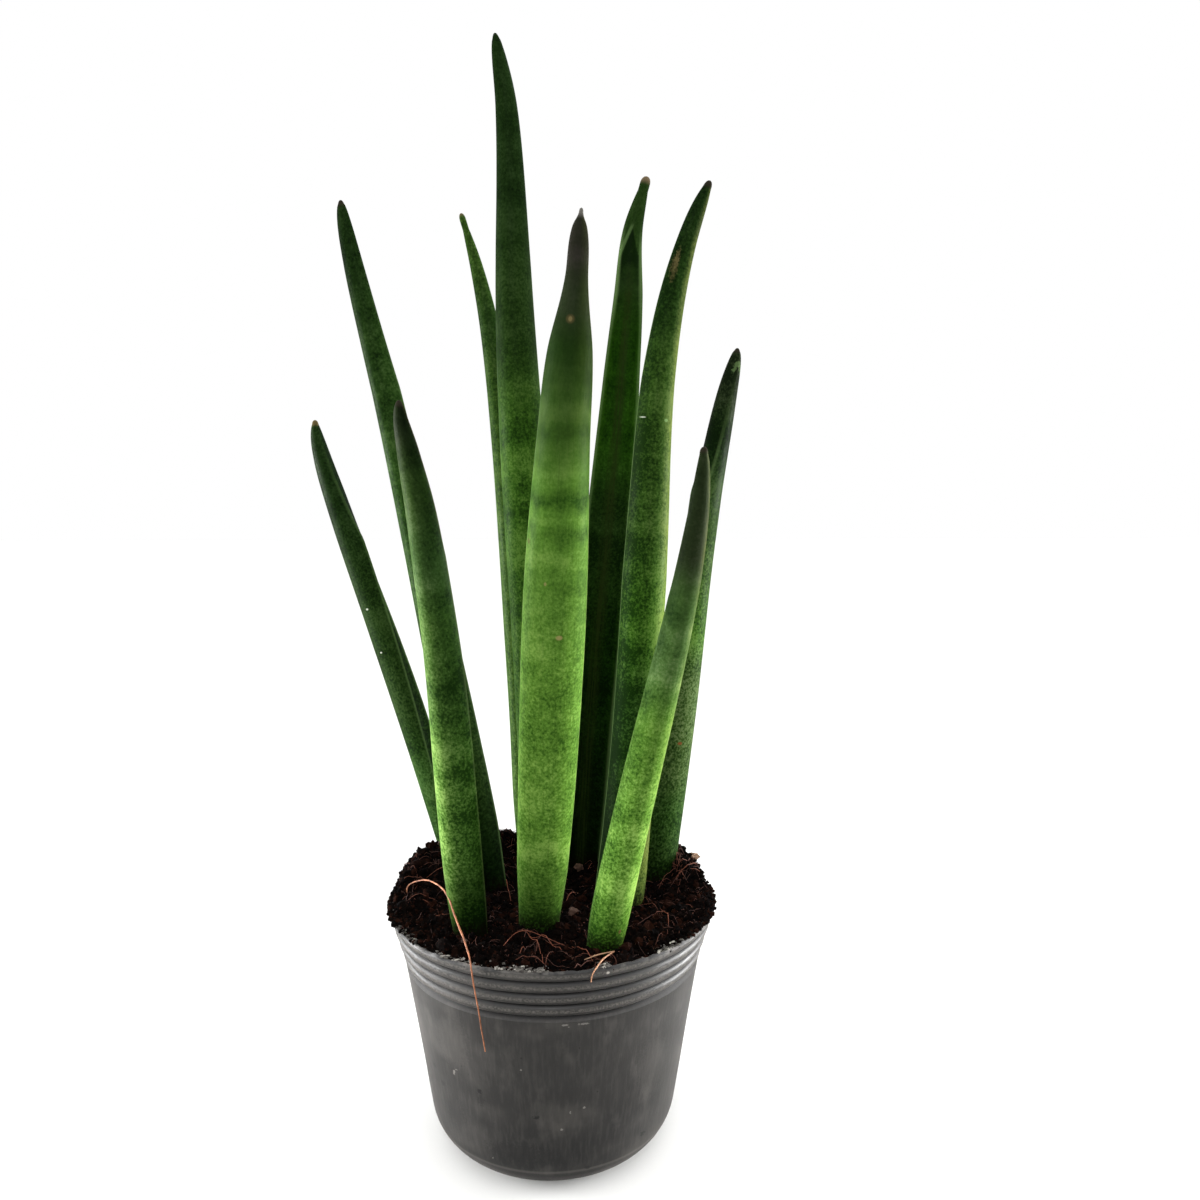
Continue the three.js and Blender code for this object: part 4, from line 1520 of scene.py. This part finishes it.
    def scattered(self, name: str, count: int, sizes: tuple[float, float], reach: float, fine: int,
                  flat: float) -> bpy.types.Object:
        """Scatters rough lumps on the soil.

        Args:
            name: the piece's name.
            count: how many lumps.
            sizes: the least and the greatest radius.
            reach: how far from the middle they lie at most.
            fine: the lumps' subdivision.
            flat: their height over their width.

        Returns:
            One object with all the lumps.
        """
        shapes = [self.lump(f"{name}_shape", fine, self.lump_rough, 3.7 * i + fine) for i in range(self.lump_shapes)]
        pile = Pile()
        for _ in range(count):
            x, y = self.spot(reach)
            size = lerp(*sizes, self.draw.random() ** 2.2)
            points, faces = self.draw.choice(shapes)
            turn = Vector([self.draw.uniform(-1, 1) for _ in range(3)]).normalized()
            spin = turn.rotation_difference(Vector((0, 0, 1))).to_matrix()
            stretch = Vector((self.draw.uniform(*self.lump_stretch), self.draw.uniform(*self.lump_stretch), flat))
            centre = Vector((x, y, self.surface(x, y) + size * self.draw.uniform(*self.lump_lift)))
            placed = [centre + spin @ Vector((p.x * stretch.x, p.y * stretch.y, p.z * stretch.z)) * size
                      for p in points]
            pile.add(placed, faces, self.draw.random())
        return pile.build(name)

    def grit(self) -> bpy.types.Object:
        """Sprinkles pale and grey grains along the rim."""
        shapes = [self.lump("grit_shape", 1, 0.7, 1.9 * i) for i in range(4)]
        pile = Pile()
        for number in range(self.grains):
            middle, spread = RIM_CLUMPS[number % len(RIM_CLUMPS)]
            angle = math.radians(self.draw.gauss(middle, spread))
            radius = self.pot.rim_radius - min(abs(self.draw.gauss(0, 1.6)), 4.5)
            size = lerp(*self.grain_size, self.draw.random() ** 2.4)
            x, y = radius * math.cos(angle), radius * math.sin(angle)
            z = max(self.pot.height + 0.1, self.surface(x, y) if radius < self.edge else 0) + size * 0.2
            points, faces = self.draw.choice(shapes)
            centre = Vector((x, y, z))
            broad = self.draw.uniform(0.7, 1.7)
            pile.add([centre + Vector((p.x * broad, p.y / broad, p.z * 0.6)) * size for p in points], faces,
                     0.75 * self.draw.random() ** 5)
        return pile.build("rim_grit")

    def spill(self) -> bpy.types.Object:
        """Heaps loose crumbs over the rim where the soil is banked against it."""
        shapes = [self.lump("spill_shape", 1, self.lump_rough, 2.3 * i) for i in range(5)]
        pile = Pile()
        for _ in range(self.spilled):
            bearing = math.radians(self.draw.gauss(*self.draw.choice(SPILLS)))
            radius = self.draw.uniform(self.edge - 0.5, self.pot.rim_radius + self.overhang)
            x, y = radius * math.cos(bearing), radius * math.sin(bearing)
            inner = self.surface(x * self.edge / radius, y * self.edge / radius)
            crest = max(inner, self.pot.height + 0.3)
            fall = (radius - self.edge) / (self.pot.rim_radius + self.overhang - self.edge)
            size = lerp(*self.spill_size, self.draw.random() ** 2)
            z = lerp(crest, self.pot.height + 0.4, fall) - size * 0.3
            points, faces = self.draw.choice(shapes)
            centre = Vector((x, y, self.draw.uniform(self.pot.height + 0.2, max(z, self.pot.height + 0.5))))
            pile.add([centre + p * size for p in points], faces, self.draw.random())
        return pile.build("peat_spill")

    def thread(self, pile: Pile, x: float, y: float, bearing: float, length: float, lift: float, radius: float,
               tone: float) -> None:
        """Lays one thin fibre on the soil, both its ends dug in.

        Args:
            pile: the pile to add it to.
            x: where it starts.
            y: where it starts.
            bearing: its direction, in radians.
            length: its length.
            lift: how high it arches.
            radius: its thickness.
            tone: its tone.
        """
        route, radii = [], []
        steps = 9 if length > 5 else 4
        turn = self.draw.uniform(-1.4, 1.4) / steps
        for i in range(steps + 1):
            share = i / steps
            rest = self.surface(x, y) if math.hypot(x, y) < self.edge else self.pot.height + 0.3
            route.append(Vector((x, y, rest + lift * math.sin(math.pi * share) - 0.5 * abs(2 * share - 1))))
            radii.append(radius * (0.55 + 0.45 * math.sin(math.pi * share)))
            x += math.cos(bearing) * length / steps
            y += math.sin(bearing) * length / steps
            bearing += turn + self.draw.uniform(-0.18, 0.18)
            if math.hypot(x, y) > self.pot.rim_radius:
                break
        if len(route) > 2:
            pile.tube(route, radii, 4, tone)

    def stray(self, pile: Pile, x: float, y: float, sort: Strands) -> None:
        """Lays one fibre of a sort in any direction.

        Args:
            pile: the pile to add it to.
            x: where it starts.
            y: where it starts.
            sort: what such fibres measure.
        """
        self.thread(pile, x, y, self.draw.uniform(0, 2 * math.pi), self.draw.uniform(*sort.length),
                    self.draw.uniform(*sort.lift), self.draw.uniform(*sort.radius), self.draw.uniform(*sort.tone))

    def coir_threads(self) -> bpy.types.Object:
        """Lays the loose coir fibres all over the soil, with denser tufts where they gather."""
        pile = Pile()
        for _ in range(self.threads):
            x, y = self.spot(self.edge - 2)
            length = self.draw.uniform(*LONG_THREADS.length)
            bearing = self.draw.uniform(0, 2 * math.pi)
            if math.hypot(x + math.cos(bearing) * length, y + math.sin(bearing) * length) > self.pot.rim_radius:
                bearing += math.pi
            lift, radius = self.draw.uniform(*LONG_THREADS.lift), self.draw.uniform(*LONG_THREADS.radius)
            tone = lerp(LONG_THREADS.tone[1], LONG_THREADS.tone[0], self.draw.random() ** 3)
            self.thread(pile, x, y, bearing, length, lift, radius, tone)
        for _ in range(self.shreds):
            x, y = self.spot(self.edge - 1)
            self.stray(pile, x, y, SHORT_SHREDS)
        for x, y, spread, count in TUFTS:
            for _ in range(count):
                self.stray(pile, x + self.draw.gauss(0, spread), y + self.draw.gauss(0, spread), TUFTED)
        for number, laid in enumerate(LAID):
            route = [Vector((x, y, self.surface(x, y) + lift)) for x, y, lift in curve_through(laid, 5)]
            last = len(route) - 1
            radii = [self.laid_radius * (0.45 + 0.55 * math.sin(math.pi * min(max(i / last, 0.1), 0.9)))
                     for i in range(last + 1)]
            pile.tube(route, radii, 5, 0.0 if number % 2 else 0.05)
        return pile.build("coir_threads")

    def bark(self) -> bpy.types.Object:
        """Lays the few larger bark chips."""
        pile = Pile()
        for x, y, size, tone in CHIPS:
            points, faces = self.lump("chip_shape", 2, 0.8, x)
            centre = Vector((x, y, self.surface(x, y) + size * 0.5))
            pile.add([centre + Vector((p.x * size, p.y * size * 0.6, p.z * size * 0.8)) for p in points], faces,
                     tone)
        return pile.build("bark_chips")

    def build(self) -> None:
        """Builds and dresses the soil and all that lies on it."""
        peat = Peat().make()
        dress(self.bed(), peat, Slot.PEAT, "soil")
        dress(self.scattered("peat_crumbs", self.crumbs, (0.3, 1.15), self.edge + 0.6, 1, 0.8), peat, Slot.PEAT)
        dress(self.scattered("peat_clods", self.clods, (1.0, 2.4), self.edge - 2, 2, 0.75), peat, Slot.PEAT)
        dress(self.spill(), peat, Slot.PEAT)
        dress(self.grit(), Shreds("perlite_and_ash", Colour.ASH_DARK, Colour.GRIT, 0.8).make(), Slot.PEAT)
        dress(self.bark(), Shreds("bark_chip", Colour.COIR_DARK, Colour.COIR_PALE, 1.6).make(), Slot.PEAT)
        dress(self.coir_threads(), Shreds("dry_coir", Colour.COIR_RED, Colour.COIR_DARK, 2.5).make(), Slot.COIR)


# Hollows in front of leaf feet: centre, spread and depth.
DIPS = ((41, 3, 7, 5.5), (-20, 1, 5, 2), (9, 16, 7, 2))

# Where fibres gather in tufts: centre, spread and count.
TUFTS = ((50, 9, 4, 34), (-50, 6, 5, 14), (-10, -42, 5, 5), (38, -12, 4, 6), (-18, 46, 5, 8), (17, -48, 3, 4))

# Where grey dust and grit gather on the rim: bearing and spread in degrees.
RIM_CLUMPS = ((-101, 2.6), (-50, 3.5), (-124, 5), (-74, 1.2), (-101, 3.5), (-94, 1), (-145, 8), (60, 70), (150, 60))

# Where the soil spills over the rim: bearing and spread in degrees.
SPILLS = ((4, 20), (163, 17), (190, 14), (-20, 10), (100, 40))

# Single reddish fibres laid between the leaves: knots of place and lift above the soil.
LAID = (
    ((-12.4, -28.2, -0.3), (-7.8, -35.4, 1.8), (-4.4, -42.9, 1.6), (-3.3, -53.5, 0.4)),
    ((-8.2, -34.5, 1.2), (-2.4, -37.9, 2.0), (3.2, -45.5, 0.2)),
    ((-9, -42.7, 0.2), (-10.5, -45.2, 1.2), (-11.5, -48.5, 0.1)),
    ((9.6, 6.3, 0.2), (7, -4.7, 3.5), (3.7, -11.9, 0.4)),
    ((-20.3, 20.6, 0.6), (-17.5, 6, 3.2), (-14.6, -7.4, 0.2)),
    ((-43.5, -20.6, 0.2), (-38.9, -18, 1.4), (-31.2, -12.5, 1.0), (-27, -12, 0.2)),
    ((45.6, 7.4, 0.3), (52, 9, 2.0), (57.5, 14.7, 0.8)),
    ((37.1, -11.5, 0.4), (40.5, -19, 1.8), (40.2, -28, 0.3)),
    ((6, -40, 0.2), (10, -45, 1.6), (14, -53, 0.5)),
)

# Bark chips: place, size and tone.
CHIPS = ((10.5, 26.8, 2.0, 0.16), (7.2, -15.5, 1.9, 0.07), (-44, 24, 1.4, 0.05), (55.5, 19.5, 1.9, 0.6),
         (-30, -36, 1.1, 0.05))


# ---- Fibres -------------------------------------------------------------------------------------


@dataclass
class Fibre:
    """A coarse coir fibre or group of fibres that stands out of the soil."""

    name: str
    node: str
    routes: tuple[tuple[tuple[float, float, float], ...], ...]
    radius: float = 0.28
    colours: tuple[Colour, Colour] = (Colour.COIR, Colour.COIR_PALE)
    sides: int = 8
    steps: int = 8
    knot: float = 0.28
    knot_size: float = 1.6
    kink: float = 0.22
    kink_size: float = 5.5

    def build(self) -> bpy.types.Object:
        """Builds and dresses the fibre, thick in the middle, kinked and thin at its ends."""
        pile = Pile()
        for number, knots in enumerate(self.routes):
            route = curve_through(knots, self.steps)
            radii = []
            for i, point in enumerate(route):
                share = i / (len(route) - 1)
                knot = 1 + self.knot * noise.noise(point / self.knot_size)
                radii.append(self.radius * knot * (0.45 + 0.55 * math.sin(math.pi * min(share + 0.12, 0.88)) ** 0.5))
                kink = noise.noise_vector(point / self.kink_size) * self.kink
                route[i] = point + kink * math.sin(math.pi * share)
            pile.tube(route, radii, self.sides, 0.15 + 0.3 * number)
        piece = pile.build(self.name)
        smooth(piece, 60)
        return dress(piece, Shreds(f"coir_{self.name}", *self.colours, 3.0, 0.7).make(), Slot.COIR, self.node)


FIBRES = (
    Fibre("arching_fibre", "coir_fibre_long", ((
        (-54, -2, 91), (-52.5, -5, 97), (-45.5, -12, 101.5), (-39, -24, 104), (-35, -33, 103), (-31.8, -40.5, 99),
        (-28.5, -48.5, 95), (-26.6, -54, 92.4), (-25.8, -56.4, 89.4), (-24.8, -56.6, 82), (-24, -53.6, 74),
        (-23.4, -50.6, 66), (-22.4, -49.4, 58)),)),
    Fibre("forked_fibre", "coir_fibre_forked", (
        ((20, -47.8, 90.6), (15.2, -49, 90.4), (10, -50, 89)),
        ((20, -47.8, 90.6), (17, -53, 91.4), (14, -58.6, 91.4), (12.2, -60.8, 89.6), (11.8, -60.8, 87))), 0.25,
          (Colour.COIR_PALE, Colour.COIR)),
    Fibre("bent_fibre", "coir_fibre_bent", ((
        (-16.5, -40.5, 90), (-13, -33.6, 90.8), (-9, -32.6, 91.2), (-3.5, -36.5, 91), (4, -41.5, 89.8)),), 0.12,
          (Colour.COIR_RED, Colour.COIR_RED)),
)


# ---- Rhizomes -----------------------------------------------------------------------------------


@dataclass(frozen=True)
class RhizomeSkin:
    """Papery rhizome skin: tan, with darker rings of old scales. It shows only where the soil is taken away."""

    name: str = "papery_rhizome_skin"
    ring_mm: tuple[float, float, float] = (9, 3, 3)
    grain_mm: float = 0.8
    roughness: float = 0.8

    def dress(self, nodes: Iterable[str]) -> None:
        """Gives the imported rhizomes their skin.

        Args:
            nodes: the solids' names.
        """
        material, tree, shader = new_material(self.name)
        place = add_node(tree, OBJECT_PLACE)
        rings = grain(tree, place, self.ring_mm, 3)
        fine = grain(tree, place, (self.grain_mm,) * 3, 2)
        colour = stained(tree, Colour.RHIZOME, (rings, 0.4, 0.62, 1.0, Colour.BARK),
                         (fine, 0.5, 0.7, 0.3, Colour.PEAT_BROWN))
        plug(shader, {"Base Color": colour, "Roughness": self.roughness,
                      "Normal": add_node(tree, BUMP, rings, 0.4, 0.5 * MM)})
        for name in nodes:
            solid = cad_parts[name]
            solid.data.materials.clear()
            solid.data.materials.append(material)
            LOG.info("%s: packed solid, %s", name, material.name)


# ---- Stage --------------------------------------------------------------------------------------


@dataclass(frozen=True)
class Softbox:
    """A square studio light: its place, its side in metres, its power in watts, its aim and its cone in degrees."""

    name: str
    place: tuple[float, float, float]
    side: float
    power: float
    aim: tuple[float, float, float] = (0.0, 0.0, 0.18)
    cone: float = 180


@dataclass(frozen=True)
class Diffuser:
    """An even overhead light through a wide diffuser: its tilt from upright in degrees, its spread and strength."""

    name: str
    tilt: tuple[float, float]
    spread: float
    strength: float


@dataclass
class Stage:
    """The camera, the soft lights and the pale floor, with their places and sizes in metres."""

    camera_place: tuple[float, float, float] = (0.0, -0.3590, 0.2424)
    pitch_down: float = 6.6
    yaw_right: float = 2.81
    lens: float = 30
    sensor: float = 36
    sky: float = 0.18
    backdrop: float = 0.85
    floor_size: float = 8
    floor_drop: float = 0.0002
    floor_roughness: float = 0.85
    overhead: Diffuser = Diffuser("overhead", (4, 4), 120, 3.0)
    boxes: tuple[Softbox, ...] = (
        Softbox("card_left", (-0.9, 0.2, 0.1), 0.5, 9),
        Softbox("card_right", (0.9, 0.15, 0.1), 0.5, 9),
        Softbox("card_front", (-0.2, -1.2, 0.7), 0.6, 5),
        Softbox("glow_left", (-0.42, 0.1, 0.05), 0.45, 1.25, (0, 0, 0.04), 40),
        Softbox("glow_right", (0.42, 0.1, 0.05), 0.45, 1.15, (0, 0, 0.04), 40),
    )

    def build(self) -> None:
        """Sets up the whole stage."""
        self.camera()
        self.floor()
        self.world()
        self.diffuse()
        for box in self.boxes:
            self.light(box)
        view = bpy.context.scene.view_settings
        view.view_transform = "Standard"
        view.look = "None"

    def camera(self) -> None:
        """Places the camera."""
        data = bpy.data.cameras.new("camera")
        data.lens, data.sensor_width = self.lens, self.sensor
        camera = linked("camera", data)
        camera.location = self.camera_place
        camera.rotation_euler = (math.radians(90 - self.pitch_down), 0, -math.radians(self.yaw_right))
        bpy.context.scene.camera = camera

    def floor(self) -> None:
        """Lays the pale floor."""
        deselect()
        bpy.ops.mesh.primitive_plane_add(size=self.floor_size, location=(0, 0, -self.floor_drop))
        floor = newest("floor")
        material, tree, shader = new_material("painted_floor")
        colour = add_node(tree, MIX, add_node(tree, SEEN_RAY), Colour.FLOOR_BOUNCE, Colour.FLOOR)
        plug(shader, {"Base Color": colour, "Roughness": self.floor_roughness})
        floor.data.materials.append(material)

    def world(self) -> None:
        """Makes the surroundings: dim for the lighting, paler in reflections and white behind everything."""
        world = bpy.data.worlds.new("studio")
        bpy.context.scene.world = world
        world.use_nodes = True
        tree = world.node_tree
        tree.nodes.clear()
        shade = add_node(tree, RANGE, add_node(tree, GLOSSY_RAY), 0.0, 1.0, self.sky, self.backdrop)
        strength = add_node(tree, MAXIMUM, add_node(tree, SEEN_RAY), shade)
        white = add_node(tree, BACKGROUND, Colour.WHITE, strength)
        plug(tree.nodes.new("ShaderNodeOutputWorld"), {"Surface": white})

    def diffuse(self) -> None:
        """Hangs the wide diffuser over the plant."""
        data = bpy.data.lights.new(self.overhead.name, "SUN")
        data.energy = self.overhead.strength
        data.angle = math.radians(self.overhead.spread)
        lamp = linked(self.overhead.name, data)
        lamp.rotation_euler = (math.radians(self.overhead.tilt[0]), math.radians(self.overhead.tilt[1]), 0)

    def light(self, box: Softbox) -> None:
        """Hangs one softbox, aimed at the plant."""
        data = bpy.data.lights.new(box.name, "AREA")
        data.shape, data.size, data.energy = "SQUARE", box.side, box.power
        data.spread = math.radians(box.cone)
        lamp = linked(box.name, data)
        lamp.visible_camera = False
        lamp.location = box.place
        lamp.rotation_euler = (Vector(box.aim) - Vector(box.place)).to_track_quat("-Z", "Y").to_euler()


def main() -> None:
    """Builds the stage, the pot, the leaves, the soil, the fibres and the rhizomes in turn."""
    # Blender seeds its vector noise from the clock unless it is told a seed.
    noise.seed_set(SEED)
    Stage().build()
    pot = Pot()
    pot.build()
    for number, leaf in enumerate(LEAVES):
        leaf.build(1.7 * number)
    Soil(pot, LEAVES).build()
    for fibre in FIBRES:
        fibre.build()
    RhizomeSkin().dress(name for name in sorted(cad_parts) if name.startswith("rhizome"))


if __name__ == "__main__":
    main()
